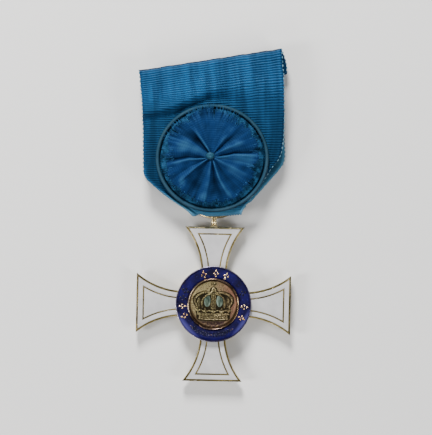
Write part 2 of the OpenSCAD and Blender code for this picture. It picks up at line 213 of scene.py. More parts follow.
gilding, way_in, way_out = new_group("old_gilding", {"Bright": "Color", "Toned": "Color"})
place = own_place(way_out)
patches = stretch(noise(place, 230, 4), 0.45, 0.7)
specks = stretch(noise(place, 1900, 5), 0.52, 0.72)
patched = mix(patches, (way_in, "Toned"), (way_in, "Bright"))
feed(mix(specks, patched, (way_in, "Toned")), way_out, "Color")
feed(stretch(noise(place, 420, 3), 0.3, 0.7, 0.16, 0.3), way_out, "Roughness")
feed(noise(place, 2600, 4), way_out, "Height")


def gilt_finish(shader, bright, toned):
    """The old gilding as a node beside a material's shader, in its two tones."""
    return add_node("Group", {"Bright": bright, "Toned": toned}, shader.id_data, node_tree=gilding)


def gilt_material(name, bright, toned):
    """Old gilding, with its shader and the gilding's node."""
    made, shader = new_material(name, Metallic=1.0)
    finish = gilt_finish(shader, bright, toned)
    feed((finish, "Color"), shader, "Base Color")
    feed((finish, "Roughness"), shader, "Roughness")
    bump((finish, "Height"), shader, GILT_GRAIN)
    return made, shader, finish


def hand_in(piece, name, made, slot, *nodes):
    """Names a finished piece, gives it its material and fixes it to the badge."""
    pick(piece)
    bpy.ops.object.transform_apply(location=True, rotation=True, scale=True)
    piece.name = piece.data.name = name
    piece.data.materials.clear()
    piece.data.materials.append(made)
    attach(piece, "root")
    if nodes:
        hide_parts(*nodes)
    return piece


def rounded_copy(node, width, segments=2):
    """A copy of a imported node's shape, its loose triangles merged and its corners rounded."""
    piece = placed(node + "_copy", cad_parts[node].data.copy())
    bpy.ops.mesh.customdata_custom_splitnormals_clear()
    with editing():
        bpy.ops.mesh.remove_doubles(threshold=MERGE)
        bpy.ops.mesh.dissolve_limited(angle_limit=math.radians(FLAT_BELOW))
    changed_by("BEVEL", piece, width=width * MM, segments=segments, limit_method="ANGLE",
               angle_limit=math.radians(CORNER_FROM))
    bpy.ops.object.shade_smooth_by_angle(angle=math.radians(SMOOTH_BELOW))
    return piece


gilt = gilt_material("gilt", GILT, TONED_GILT)[0]

# Painted highlights lighten the upper end, and the eye most. The left end is a deeper gold.
left_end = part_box("cross_body")[0].x
cross_gilt, shader, finish = gilt_material("cross_gilt", GILT, TONED_GILT)
place = own_place(shader)
tone = (finish, "Color")
for side, start, end, strength, gold in (
        ("Y", -3.8 * MM, -3.5 * MM, 0.5, (0.95, 0.86, 0.6)),
        ("Y", -3.3 * MM, -3.0 * MM, 1, (0.86, 0.7, 0.38)),
        ("X", left_end + 0.75 * MM, left_end + 0.55 * MM, 1, (0.4, 0.3, 0.13))):
    tone = mix(stretch(along(place, side), start, end, 0, strength), tone, gold)
feed(tone, shader, "Base Color")
hand_in(rounded_copy("cross_body", 0.09, 3), "gilt_cross", cross_gilt, "gilt", "cross_body")


# The white enamel: glass fired into the recesses of each arm, front and back, a border outside
# the gilt line and a panel inside it. It is glossy, a little uneven, and rounded where it meets
# the metal. Its rounded rim is coloured dark, as painted shade along the join with the metal.
panel_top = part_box("enamel_panel_front_top")[1].z
panel_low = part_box("enamel_panel_back_top")[0].z
enamel_top, cross_middle = (panel_top - panel_low) / 2, (panel_top + panel_low) / 2


def sum_of(operation, *values, kind="Math", result="Value"):
    """The result of one sum on numbers or, for the kind VectorMath, on places."""
    return add_node(kind, dict(enumerate(values)), operation=operation), result


def place_from(place, middle):
    """A place counted from a middle."""
    return sum_of("SUBTRACT", place, middle, kind="VectorMath", result="Vector")


def mottled(name, patches, tones, gloss, grain, **settings):
    """A material of two tones in patches, with its shader, its place and its tone.

    patches is the noise's scale and detail and the values between which the tones mix. gloss is
    the scale, the detail and the two roughnesses. grain is the scale, the detail and the depth.
    """
    made, shader = new_material(name, **settings)
    place = own_place(shader)
    tone = mix(stretch(noise(place, *patches[:2]), *patches[2:]), *tones)
    feed(tone, shader, "Base Color")
    feed(stretch(noise(place, *gloss[:2]), 0.3, 0.7, *gloss[2:]), shader, "Roughness")
    if grain:
        bump(noise(place, *grain[:2]), shader, grain[2])
    return made, shader, place, tone


white_enamel, shader, place, tone = mottled(
    "white_enamel", (260, 4, 0.35, 0.65), ((0.42, 0.418, 0.432), (0.49, 0.487, 0.5)),
    (500, 2, 0.14, 0.24), (420, 1, 0.05), Coat_Weight=0.4, Coat_Roughness=0.05)
pits = stretch(noise(place, 2200, 2), 0.66, 0.74)
pitted = mix(pits, tone, (0.43, 0.42, 0.43))
from_middle = along(place_from(place, (0, 0, cross_middle)), "Z")
# Painted shade: below its flat top, the enamel's rounded rim turns dark gold-brown.
edge_shade = stretch(sum_of("ABSOLUTE", from_middle), enamel_top - 0.075 * MM, enamel_top - 0.02 * MM,
               1, 0)
feed(mix(edge_shade, pitted, (0.1, 0.085, 0.045)), shader, "Base Color")

for face in ("front", "back"):
    for arm in ("top", "left", "bottom", "right"):
        for shape in ("border", "panel"):
            node = f"enamel_{shape}_{face}_{arm}"
            hand_in(rounded_copy(node, 0.1, 3), f"white_{shape}_{face}_{arm}", white_enamel,
                    "white_enamel", node)


# The medallions: a turned gilt carrier on each face, with an outer lip that holds the blue ring
# and a round wire soldered inside it. The back one is closed by a plain polished disc.
MEDAL_SIDES, TURNED_SMOOTH_BELOW = 144, 35
LIP_W, LIP_TOP = 0.25, 1.13
WIRE_R, WIRE_HALF, WIRE_ROUND = 6.8, 0.2, 0.22
PLATE_T = 0.43


def turned(profile, centre, sides):
    """A shape as from the lathe: a ring of points, extruded and resized along its profile."""
    radius, height = profile[0]
    piece = added(bpy.ops.mesh.primitive_circle_add, vertices=sides, radius=radius * MM,
                  location=(*centre, height * MM))
    with editing():
        for wide, high in profile[1:]:
            bpy.ops.mesh.extrude_region_move(
                TRANSFORM_OT_translate={"value": (0, 0, (high - height) * MM)})
            bpy.ops.transform.resize(value=(wide / radius, wide / radius, 1),
                                     center_override=(*centre, high * MM))
            radius, height = wide, high
        bpy.ops.mesh.select_all(action="SELECT")
        bpy.ops.mesh.remove_doubles(threshold=MERGE)
        bpy.ops.mesh.fill_holes(sides=0)
        bpy.ops.mesh.normals_make_consistent(inside=False)
    bpy.ops.object.transform_apply(location=True)
    bpy.ops.object.shade_smooth_by_angle(angle=math.radians(TURNED_SMOOTH_BELOW))
    return piece


def polar(angle, radius=1.0):
    """The place at an angle in degrees and a radius, as (x, y)."""
    return radius * math.cos(math.radians(angle)), radius * math.sin(math.radians(angle))


def arc(middle, half, base, rise, angles):
    """Points of an arc over a width, as (radius, height)."""
    return [(middle + half * x, base + rise * y) for x, y in map(polar, angles)]


def rounded_corner(inner, outer, low, high, steps=5):
    """Points of a quarter round from the side up to the top, as (radius, height)."""
    return arc(inner, outer - inner, low, high - low, [90 * i / steps for i in range(steps + 1)])


def middle_and_half(node):
    """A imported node's middle and half its size, in metres."""
    low, high = (np.array(corner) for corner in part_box(node))
    return (low + high) / 2, (high - low) / 2


def measured(node):
    """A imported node's middle in metres, and its half width, foot and top in millimetres."""
    middle, half = middle_and_half(node)
    return tuple(middle[:2]), half[0] / MM, (middle[2] - half[2]) / MM, (middle[2] + half[2]) / MM


medal_centre, medal_r, seat_z, high_z = measured("medallion_front")
wire_top = high_z - seat_z


def carrier_profile(base, sign, inside):
    """The carrier's profile: side, lip, floor of the blue ring, wire, and what lies inside."""
    steps = [(medal_r - 0.1, 0), (medal_r, 0.1)]
    steps += rounded_corner(medal_r - 0.08, medal_r, LIP_TOP - 0.15, LIP_TOP)
    steps += [(medal_r - LIP_W + 0.03, LIP_TOP), (medal_r - LIP_W, LIP_TOP - 0.05),
              (medal_r - LIP_W, PLATE_T), (WIRE_R + WIRE_HALF, PLATE_T)]
    steps += arc(WIRE_R, WIRE_HALF, wire_top - WIRE_ROUND, WIRE_ROUND, range(0, 181, 20))
    return [(radius, base + sign * rise) for radius, rise in steps + inside]


open_middle = [(WIRE_R - WIRE_HALF, PLATE_T)]
plain_disc = [(WIRE_R - 0.2, wire_top - 0.3), (WIRE_R - 0.28, wire_top - 0.3),
              (WIRE_R - 0.42, wire_top - 0.02), (WIRE_R - 0.6, wire_top), (4.2, wire_top),
              (4.1, wire_top - 0.06), (3.95, wire_top - 0.06), (3.85, wire_top)]


def from_medal_middle(place):
    """A place counted from the medallion's middle, and how far out it lies."""
    spot = place_from(place, (*medal_centre, 0))
    flat = sum_of("MULTIPLY", spot, (1, 1, 0), kind="VectorMath", result="Vector")
    return spot, sum_of("LENGTH", flat, kind="VectorMath")


def toward(spot, angle):
    """How far a place on the medallion lies in one direction."""
    return sum_of("DOT_PRODUCT", spot, (*polar(angle), 0), kind="VectorMath")


# The top of the outer lip is coloured a dark bluish grey, with a painted lilac highlight at the
# lower left. The wire has a painted highlight at the left and painted shade at its head and foot.
carrier_gilt, shader, finish = gilt_material(
    "carrier_gilt", (0.4, 0.27, 0.16), (0.16, 0.105, 0.06))
spot, reach = from_medal_middle(own_place(shader))
lip_with_highlight = mix(stretch(toward(spot, 225), 6.4 * MM, 9.5 * MM),
               (0.2, 0.18, 0.32), (0.62, 0.58, 0.74))
wire_lit_and_shaded = (finish, "Color")
for direction, start, end, gold in ((165, 4.5, 6.5, (0.46, 0.36, 0.26)),
                                    (80, 5, 6.3, (0.12, 0.08, 0.06)),
                                    (270, 5, 6.3, (0.12, 0.08, 0.06))):
    wire_lit_and_shaded = mix(stretch(toward(spot, direction), start * MM, end * MM), wire_lit_and_shaded, gold)
outside = stretch(reach, (medal_r - 0.36) * MM, (medal_r - 0.3) * MM)
lip_z = seat_z + LIP_TOP
on_top = stretch(along(spot, "Z"), (lip_z - 0.2) * MM, (lip_z - 0.1) * MM)
on_lip = sum_of("MULTIPLY", outside, on_top)
feed(mix(on_lip, wire_lit_and_shaded, lip_with_highlight), shader, "Base Color")
hand_in(turned(carrier_profile(seat_z, 1, open_middle), medal_centre, MEDAL_SIDES),
        "medallion_carrier", carrier_gilt, "gilt", "medallion_front")
back_seat_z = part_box("medallion_back")[1].z / MM
hand_in(turned(carrier_profile(back_seat_z, -1, plain_disc), medal_centre, MEDAL_SIDES),
        "medallion_back_plate", gilt, "gilt", "medallion_back")


# The blue rings: translucent enamel over the plate between the lip and the wire, higher in its
# middle. It is deep cobalt, with a painted lilac sheen at the lower left and the lower right.
RING_GAP = 0.02
blue_enamel, shader, place, tone = mottled(
    "blue_enamel", (340, 5, 0.35, 0.68), ((0.002, 0.001, 0.016), (0.005, 0.002, 0.06)),
    (700, 2, 0.12, 0.2), (500, 1, 0.04),
    Specular_IOR_Level=0.25, Coat_Weight=0.1, Coat_Roughness=0.04)
swirl = stretch(noise(place, 1500, 3), 0.6, 0.75)
tone = mix(swirl, tone, (0.014, 0.01, 0.11))
spot = from_medal_middle(place)[0]
# A painted sheen lightens the enamel towards the lower left and the lower right.
for direction, start, end, strength in ((221, 8.5, 9.6, 0.5), (327, 8.6, 9.4, 0.4)):
    painted_sheen = stretch(toward(spot, direction), start * MM, end * MM, 0, strength)
    tone = mix(painted_sheen, tone, (0.09, 0.085, 0.32))
feed(tone, shader, "Base Color")

for face, sign in (("front", 1), ("back", -1)):
    low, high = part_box(f"enamel_ring_{face}")
    inner = WIRE_R + WIRE_HALF + RING_GAP
    outer = medal_r - LIP_W - RING_GAP
    top, bottom = (high.z, low.z) if sign > 0 else (low.z, high.z)
    middle, half = (inner + outer) / 2, (outer - inner) / 2
    rise = abs(top - bottom) / MM - RING_GAP
    bow = [(middle + half * x, bottom / MM + sign * (RING_GAP + rise * y ** 0.35))
           for x, y in map(polar, range(3, 178, 6))]
    profile = [(outer, bottom / MM)] + bow + [(inner, bottom / MM), (outer, bottom / MM)]
    hand_in(turned(profile, medal_centre, MEDAL_SIDES), f"blue_ring_{face}", blue_enamel,
            "blue_enamel", f"enamel_ring_{face}")


# The ornaments on the front blue ring: clusters of four gilt pearls round a smaller one, laid on
# the enamel and fired in, and a small laurel spray along the bottom. Three clusters and the
# spray are coloured dark. Angles are in degrees from the right, against the clock.
CLUSTERS = (203, 184.5, 108.6, 86.5, 66.9, -4, -25)
DARK_CLUSTERS = (169, 155, 21.8)
CLUSTER_R = 8.45
SPRAY_START, SPRAY_TIE, SPRAY_END = 231, 267, 303
SPRAY_R = 8.35
LEAF_STEP, STALK_STEP, TIP_STEP = 5, 4, 4

ornament_gilt = gilt_material("ornament_gilt", (0.9, 0.72, 0.46), (0.36, 0.22, 0.1))[0]
spray_gilt = gilt_material("spray_gilt", (0.065, 0.065, 0.105), (0.02, 0.02, 0.035))[0]
worn_gilt = gilt_material("worn_gilt", (0.42, 0.32, 0.3), (0.16, 0.11, 0.12))[0]


def petal(x, y, turn, wide, long, thick, pointed=0.35):
    """A leaf with a pointed tip: a ball made flat, its tip drawn in."""
    piece = added(bpy.ops.mesh.primitive_uv_sphere_add, segments=12, ring_count=8, radius=1,
                  rotation=(-math.pi / 2, 0, 0))
    bpy.ops.object.transform_apply(rotation=True)
    for corner in piece.data.vertices:
        if corner.co.y > 0:
            corner.co.x *= 1 - (1 - pointed) * corner.co.y
    piece.scale = (wide * MM, long * MM, thick * MM)
    piece.rotation_euler = (0, 0, math.radians(turn))
    piece.location = (x * MM, y * MM, 0)
    bpy.ops.object.transform_apply(location=True, rotation=True, scale=True)
    bpy.ops.object.shade_smooth()
    return piece


def curve_through(points, closed):
    """A flat smooth curve through the points."""
    curve = added(bpy.ops.curve.primitive_bezier_curve_add)
    line = curve.data.splines[0]
    line.bezier_points.add(len(points) - 2)
    line.use_cyclic_u = closed
    for knot, (x, y) in zip(line.bezier_points, points):
        knot.co = (x * MM, y * MM, 0)
        knot.handle_left_type = knot.handle_right_type = "AUTO"
    return curve


def raised(piece, height, flat=1.0):
    """A curve or a mesh as a mesh, made that much flatter and then that much higher."""
    pick(piece)
    if piece.type == "CURVE":
        bpy.ops.object.convert(target="MESH")
    piece = bpy.context.object
    piece.scale.z *= flat
    piece.location.z += height * MM
    bpy.ops.object.transform_apply(location=True, scale=True)
    return piece


def bar(points, radius, height, flat=0.6):
    """A rounded bar along the points."""
    curve = curve_through(points, False)
    curve.data.bevel_depth = radius * MM
    curve.data.bevel_resolution = 3
    curve.data.use_fill_caps = True
    return raised(curve, height, flat)


def joined(pieces):
    """Several pieces made one."""
    pick(pieces[0])
    for piece in pieces:
        piece.select_set(True)
    bpy.ops.object.join()
    return bpy.context.object


def repeated(model, places, keep=False):
    """One mesh with a copy of the model at each place."""
    shape = bmesh.new()
    for place in places:
        copy = model.data.copy()
        copy.transform(place)
        shape.from_mesh(copy)
        bpy.data.meshes.remove(copy)
    mesh = bpy.data.meshes.new("repeated")
    shape.to_mesh(mesh)
    shape.free()
    if not keep:
        bpy.data.objects.remove(model)
    piece = placed("repeated", mesh)
    bpy.ops.object.shade_smooth()
    return piece


def on_ring(angle, radius, height, lean=0.0):
    """The place on the medallion at an angle, turned so that +Y points outwards."""
    x, y = polar(angle, radius * MM)
    spot = Vector((medal_centre[0] + x, medal_centre[1] + y, height * MM))
    return Matrix.Translation(spot) @ Matrix.Rotation(math.radians(angle - 90 + lean), 4, "Z")


ring_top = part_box("enamel_ring_front")[1].z / MM
cluster = joined([petal(0, 0, 0, 0.13, 0.13, 0.12, 1)] + [
    petal(x, y, 0, wide, long, 0.2, 0.8)
    for x, y, wide, long in ((0, 0.72, 0.32, 0.37), (0, -0.72, 0.32, 0.37),
                             (0.52, 0, 0.28, 0.31), (-0.52, 0, 0.28, 0.31))])
for angles, made, name in ((CLUSTERS, ornament_gilt, "ring_pearls"),
                           (DARK_CLUSTERS, spray_gilt, "ring_dark_pearls")):
    places = [on_ring(a, CLUSTER_R, ring_top - 0.03) for a in angles]
    hand_in(repeated(cluster, places, angles is CLUSTERS), name, made, "gilt")

leaves = [on_ring(SPRAY_TIE + side * step, SPRAY_R + across * 0.34, ring_top - 0.02,
                  -side * (90 - across * side * 34))
          for step in range(LEAF_STEP, SPRAY_END - SPRAY_TIE + 1, LEAF_STEP)
          for side in (-1, 1) for across in (-1, 1)]
stalk = [on_ring(a, SPRAY_R, ring_top) for a in range(SPRAY_START, SPRAY_END + 1, STALK_STEP)]
spray = joined([repeated(petal(0, 0, 0, 0.16, 0.44, 0.1), leaves),
                repeated(petal(0, 0, 90, 0.07, 0.5, 0.06, 1), stalk)])
hand_in(spray, "ring_laurel", spray_gilt, "gilt")
tips = repeated(petal(0, 0, 90, 0.14, 0.5, 0.12),
                [on_ring(SPRAY_START - TIP_STEP, 8.5, ring_top),
                 on_ring(SPRAY_END + TIP_STEP, 8.5, ring_top, 180)])
knot = repeated(petal(0, 0, 0, 0.3, 0.2, 0.2, 1), [on_ring(SPRAY_TIE, SPRAY_R, ring_top)])
hand_in(joined([tips, knot]), "ring_laurel_tips", worn_gilt, "gilt")


# The medallion's middle: a thin struck disc with a crown in relief, set down inside the wire.
# The crown has a jewelled band, leaves, pearled arches over cloth caps, an orb and a cross. The
# gilding is coloured olive at the upper left, brown at the right and dark purple at the foot,
# and the relief's low parts are painted black, as the shade round and under the crown.
DISC_T = 0.3
RELIEF_VOXEL = 0.06
# One half of the crown, from its middle: x, y.
CROWN_OUTLINE = [(0.6, 4.6), (1.0, 4.1), (1.1, 3.7), (2.3, 3.68), (3.6, 3.36), (4.85, 2.7),
                 (5.55, 1.75), (5.62, 0.8), (5.2, -0.3), (4.75, -1.0), (4.85, -1.6), (4.65, -2.6),
                 (4.3, -4.15), (2.2, -4.45)]
OUTER_ARCH = [(0.75, 3.02), (1.7, 3.14), (3.1, 2.9), (4.3, 2.3), (4.95, 1.4), (4.85, 0.4),
              (4.2, -0.75)]
INNER_ARCH = [(0.7, 2.75), (1.5, 2.55), (2.4, 1.95), (2.95, 1.1), (3.1, 0.1), (2.95, -0.9)]
BAND_FOOT = [(0, -4.22), (2, -4.17), (3.95, -3.98)]
BAND_TOP = [(0, -2.98), (2.2, -2.92), (4.35, -2.7)]
BAND_BOW = 0.018
GEM_Y, GEM_STEP = -3.6, 0.8
LEAF_Y, LEAVES = -1.9, (-4.3, -2.2, 0, 2.2, 4.3)
CROSS_Y, CROSS_ARM = 5.52, 0.42

disc_r, disc_z = measured("crown_disc")[1:3]
field_z = disc_z + DISC_T


def tone_by_place(place, left_tone, right_tone, foot_tone):
    """The gilding's tone over the disc: one at the upper left, one at the right, one below."""
    foot = stretch(along(place, "Y"), medal_centre[1] - 2 * MM, medal_centre[1] - 5 * MM)
    right = stretch(along(place, "X"), -1 * MM, 4.5 * MM)
    return mix(foot, mix(right, left_tone, right_tone), foot_tone)


def grained(place, shader, tone, scale, low, high, hollow_tone, depth):
    """Covers a tone with the fine dark grain of the struck metal."""
    grains = noise(place, scale, 3)
    feed(mix(stretch(grains, low, high), hollow_tone, tone), shader, "Base Color")
    feed(stretch(grains, 0.3, 0.7, 0.5, 0.3), shader, "Roughness")
    bump(grains, shader, depth)


field_gilt, shader = new_material("field_gilt", Metallic=1.0)
place = own_place(shader)
tone = tone_by_place(place, (0.55, 0.455, 0.225), (0.35, 0.17, 0.115), (0.045, 0.025, 0.03))
spot, reach = from_medal_middle(place)
# The raised border ring has a painted highlight in its lower part, and is darker at the very foot.
lower = stretch(along(place, "Y"), medal_centre[1] + 1 * MM, medal_centre[1] - 3 * MM)
border = mix(lower, tone, (0.16, 0.1, 0.06))
border = mix(stretch(toward(spot, 275), 5.0 * MM, 5.7 * MM), border, (0.03, 0.02, 0.02))
tone = mix(stretch(reach, 5.8 * MM, 5.95 * MM), tone, border)
# A ring of painted shade lies in the recess between the border and the wire.
tone = mix(stretch(reach, 6.15 * MM, 6.3 * MM), tone, (0.07, 0.05, 0.04))
grained(place, shader, tone, 3600, 0.36, 0.52, (0.16, 0.11, 0.06), 0.07)

disc = [(disc_r, disc_z), (disc_r, disc_z + 0.1)]
disc += rounded_corner(disc_r - 0.3, disc_r, disc_z + 0.1, field_z, 4)
disc += [(radius, field_z + rise) for radius, rise in (
    (6.2, 0.01), (6.12, 0.08), (6.0, 0.08), (5.88, 0.01), (5.2, 0.01), (3, 0.02))]
hand_in(turned(disc, medal_centre, MEDAL_SIDES), "medal_field", field_gilt, "gilt", "crown_disc")


def lengths_along(line):
    """How far along a line of points each of them lies."""
    return np.concatenate([[0], np.cumsum(np.linalg.norm(np.diff(line, axis=0), axis=1))])


def smooth_between(a, b, c, d, t):
    """The place at a share t of the way from b to c, on a smooth line through all four."""
    return 0.5 * (2 * b + (c - a) * t + (2 * a - 5 * b + 4 * c - d) * t * t
                  + (3 * b - a - 3 * c + d) * t ** 3)


def smooth_run(points, step):
    """Places at even steps along a smooth line through the points, as (x, y)."""
    ends = np.array([points[0], *points, points[-1]])
    line = [smooth_between(*four, t) for four in zip(ends, ends[1:], ends[2:], ends[3:])
            for t in np.linspace(0, 1, 16, endpoint=False)]
    line = np.array(line + [ends[-1]])
    passed = lengths_along(line)
    at = np.linspace(0, passed[-1], max(2, round(passed[-1] / step) + 1))
    return [(np.interp(s, passed, line[:, 0]), np.interp(s, passed, line[:, 1])) for s in at]


def plate(outline, half, height):
    """A flat plate inside the outline."""
    curve = curve_through(outline, True)
    curve.data.dimensions = "2D"
    curve.data.fill_mode = "BOTH"
    curve.data.extrude = half * MM
    return raised(curve, height)


def beads(places, radius, height):
    """A row of pearls."""
    pearl = added(bpy.ops.mesh.primitive_ico_sphere_add, subdivisions=2, radius=radius * MM)
    return repeated(pearl, [Matrix.Translation((x * MM, y * MM, height * MM)) for x, y in places])


def leaf(x, y, turn, wide, long, thick, pointed, height):
    """A petal raised over the disc."""
    return raised(petal(x, y, turn, wide, long, thick, pointed), height)


def bowed(x, y):
    """A place along the band, which bows down in its middle."""
    return x, y + BAND_BOW * x * x


def band_line(half, shift=0.0):
    """A line across the band, from its left end to its right."""
    return [(-x, y + shift) for x, y in reversed(half[1:])] + [(x, y + shift) for x, y in half]


outline = CROWN_OUTLINE + [(-x, y) for x, y in reversed(CROWN_OUTLINE)]
# A thin plate under the crown's outline; coloured black, it paints the shadow round the crown.
crown = [plate(outline, 0.03, 0.03)]
for side in (-1, 1):
    outer = [(side * x, y) for x, y in OUTER_ARCH]
    inner = [(side * x, y) for x, y in INNER_ARCH]
    over = [(x * 1.065, y * 1.07 + 0.02) for x, y in outer[:-1]]
    side_cap = [(side * 3.75, -0.8), (side * 4.1, 0.3), (side * 4.0, 1.4)]
    crown += [bar(outer, 0.3, 0.06, 0.55), beads(smooth_run(outer, 0.46), 0.21, 0.24),
              beads(smooth_run(over, 0.4), 0.1, 0.2),
              bar(inner, 0.26, 0.14), beads(smooth_run(inner, 0.42), 0.18, 0.3),
              bar([(side * 0.56, -1.4), (side * 0.56, 2.9)], 0.1, 0.22),
              petal(side * 3.95, 0.75, 0, 0.62, 1.45, 0.24, 1),
              beads(smooth_run(side_cap, 0.5), 0.14, 0.26)]
gems = np.arange(-4.5, 5) * GEM_STEP
crown += [
    bar([(0, -1.4), (0, 0.8), (0, 3.0)], 0.5, 0.08, 0.4),
    beads([(0, y) for y in np.arange(-1.2, 3.0, 0.43)], 0.2, 0.32),
    bar(band_line(BAND_FOOT, 0.64), 0.66, 0.04, 0.3),
    bar(band_line(BAND_FOOT), 0.15, 0.2), bar(band_line(BAND_TOP), 0.15, 0.22),
    bar(band_line(BAND_TOP, 0.36), 0.09, 0.2), bar(band_line(BAND_FOOT, -0.28), 0.07, 0.12),
    beads([(x + GEM_STEP / 2, bowed(x, GEM_Y)[1]) for x in gems[:-1]], 0.13, 0.26)]
crown += [leaf(*bowed(x, GEM_Y), 0, 0.23, 0.42, 0.16, 1, 0.24) for x in gems]
for x in LEAVES:
    y, lean = bowed(x, LEAF_Y)[1], -3 * x
    crown.append(leaf(x, y + 0.1, lean, 0.32, 0.7, 0.22, 0.3, 0.24))
    crown += [leaf(x + side * 0.46, y - 0.12, lean - side * 55, 0.22, 0.46, 0.17, 0.4, 0.2)
              for side in (-1, 1)]
between = [(a + b) / 2 for a, b in zip(LEAVES, LEAVES[1:])]
crown += [
    beads([bowed(x, -1.85) for x in between], 0.26, 0.2),
    bar([(-0.1, 3.95), (0, 3.95), (0.1, 3.95)], 0.1, 0.1),
    beads([(-0.5, 3.36), (0.5, 3.36)], 0.3, 0.22),
    leaf(0, 3.9, 0, 0.74, 0.7, 0.32, 1, 0.1),
    bar([(-0.7, 3.95), (0, 3.8), (0.7, 3.95)], 0.1, 0.36),
    leaf(0, CROSS_Y - 0.4, 180, 0.26, 0.42, 0.16, 0.35, 0.1),
    leaf(0, CROSS_Y + 0.43, 0, 0.3, 0.42, 0.16, 1.5, 0.1),
    leaf(-CROSS_ARM, CROSS_Y, 90, 0.3, 0.36, 0.16, 1.5, 0.1),
    leaf(CROSS_ARM, CROSS_Y, -90, 0.3, 0.36, 0.16, 1.5, 0.1),
    beads([(0, CROSS_Y)], 0.2, 0.14)]
relief = joined(crown)
relief.location = (medal_centre[0], medal_centre[1], field_z * MM)
bpy.ops.object.transform_apply(location=True)
relief.data.remesh_voxel_size = RELIEF_VOXEL * MM
bpy.ops.object.voxel_remesh()
bpy.ops.object.shade_smooth()

relief_gilt, shader = new_material("relief_gilt", Metallic=1.0)
place = own_place(shader)
tone = tone_by_place(place, (0.345, 0.305, 0.14), (0.37, 0.26, 0.13), (0.2, 0.145, 0.09))
finish = gilt_finish(shader, (0.54, 0.46, 0.25), (0.2, 0.16, 0.08))
# Painted shade: the relief's low parts, near the field, are coloured near black.
proud = stretch(along(place, "Z"), (field_z + 0.12) * MM, (field_z + 0.3) * MM)
tone = mix(proud, (0.035, 0.03, 0.02), mix(0.5, (finish, "Color"), tone))
grained(place, shader, tone, 3400, 0.43, 0.58, (0.04, 0.03, 0.016), 0.05)
hand_in(relief, "crown_relief", relief_gilt, "gilt")

# The cloth caps between the arches have upright folds and a greenish grey tone.
CAP_FOLD = 0.46 * MM


def drawn_out(place, scale):
    """A place measured on scales of its own, so that noise on it turns to streaks."""
    return add_node("Mapping", {"Vector": place, "Scale": scale}), "Vector"


cap_gilt, shader = new_material("cap_gilt", Metallic=0.8)
streak = stretch(noise(drawn_out(own_place(shader), (1, 0.25, 1)), 2600, 3), 0.35, 0.65)
feed(mix(streak, (0.04, 0.07, 0.055), (0.17, 0.22, 0.17)), shader, "Base Color")
feed(stretch(streak, 0, 1, 0.34, 0.46), shader, "Roughness")
bump(streak, shader, 0.02)
caps = joined([petal(side * 1.68, 1.0, 0, 0.95, 1.8, 0.3, 1) for side in (-1, 1)])
for corner in caps.data.vertices:
    corner.co.z *= 0.8 + 0.2 * math.cos(2 * math.pi * corner.co.x / CAP_FOLD)
caps.location = (medal_centre[0], medal_centre[1], field_z * MM)
hand_in(caps, "crown_caps", cap_gilt, "gilt")


# The suspension ring: round gilt wire bent to a circle through the eye and the ribbon's fold.
# Its two ends meet in a soldered seam under the cloth.
SEAM_AT, SEAM_HALF, SEAM_DEPTH = 90, 2.5, 0.12
ring_mid, ring_half = middle_and_half("suspension_ring")
wire_r = ring_half[2]
ring_r = ring_half[0] - wire_r
ring = added(bpy.ops.mesh.primitive_torus_add, major_segments=180, minor_segments=20,
             location=ring_mid, major_radius=ring_r, minor_radius=wire_r)
bpy.ops.object.transform_apply(location=True)
for corner in ring.data.vertices:
    around = math.atan2(corner.co.y - ring_mid[1], corner.co.x - ring_mid[0])
    seam = max(0.0, 1 - abs(math.degrees(around) - SEAM_AT) / SEAM_HALF)
    spine = Vector((ring_mid[0] + ring_r * math.cos(around),
                    ring_mid[1] + ring_r * math.sin(around), ring_mid[2]))
    corner.co = spine + (corner.co - spine) * (1 - SEAM_DEPTH * seam)
bpy.ops.object.shade_smooth()
ring_gilt = gilt_material("ring_gilt", (0.9, 0.75, 0.42), (0.78, 0.6, 0.3))[0]
hand_in(ring, "gilt_ring", ring_gilt, "gilt", "suspension_ring")


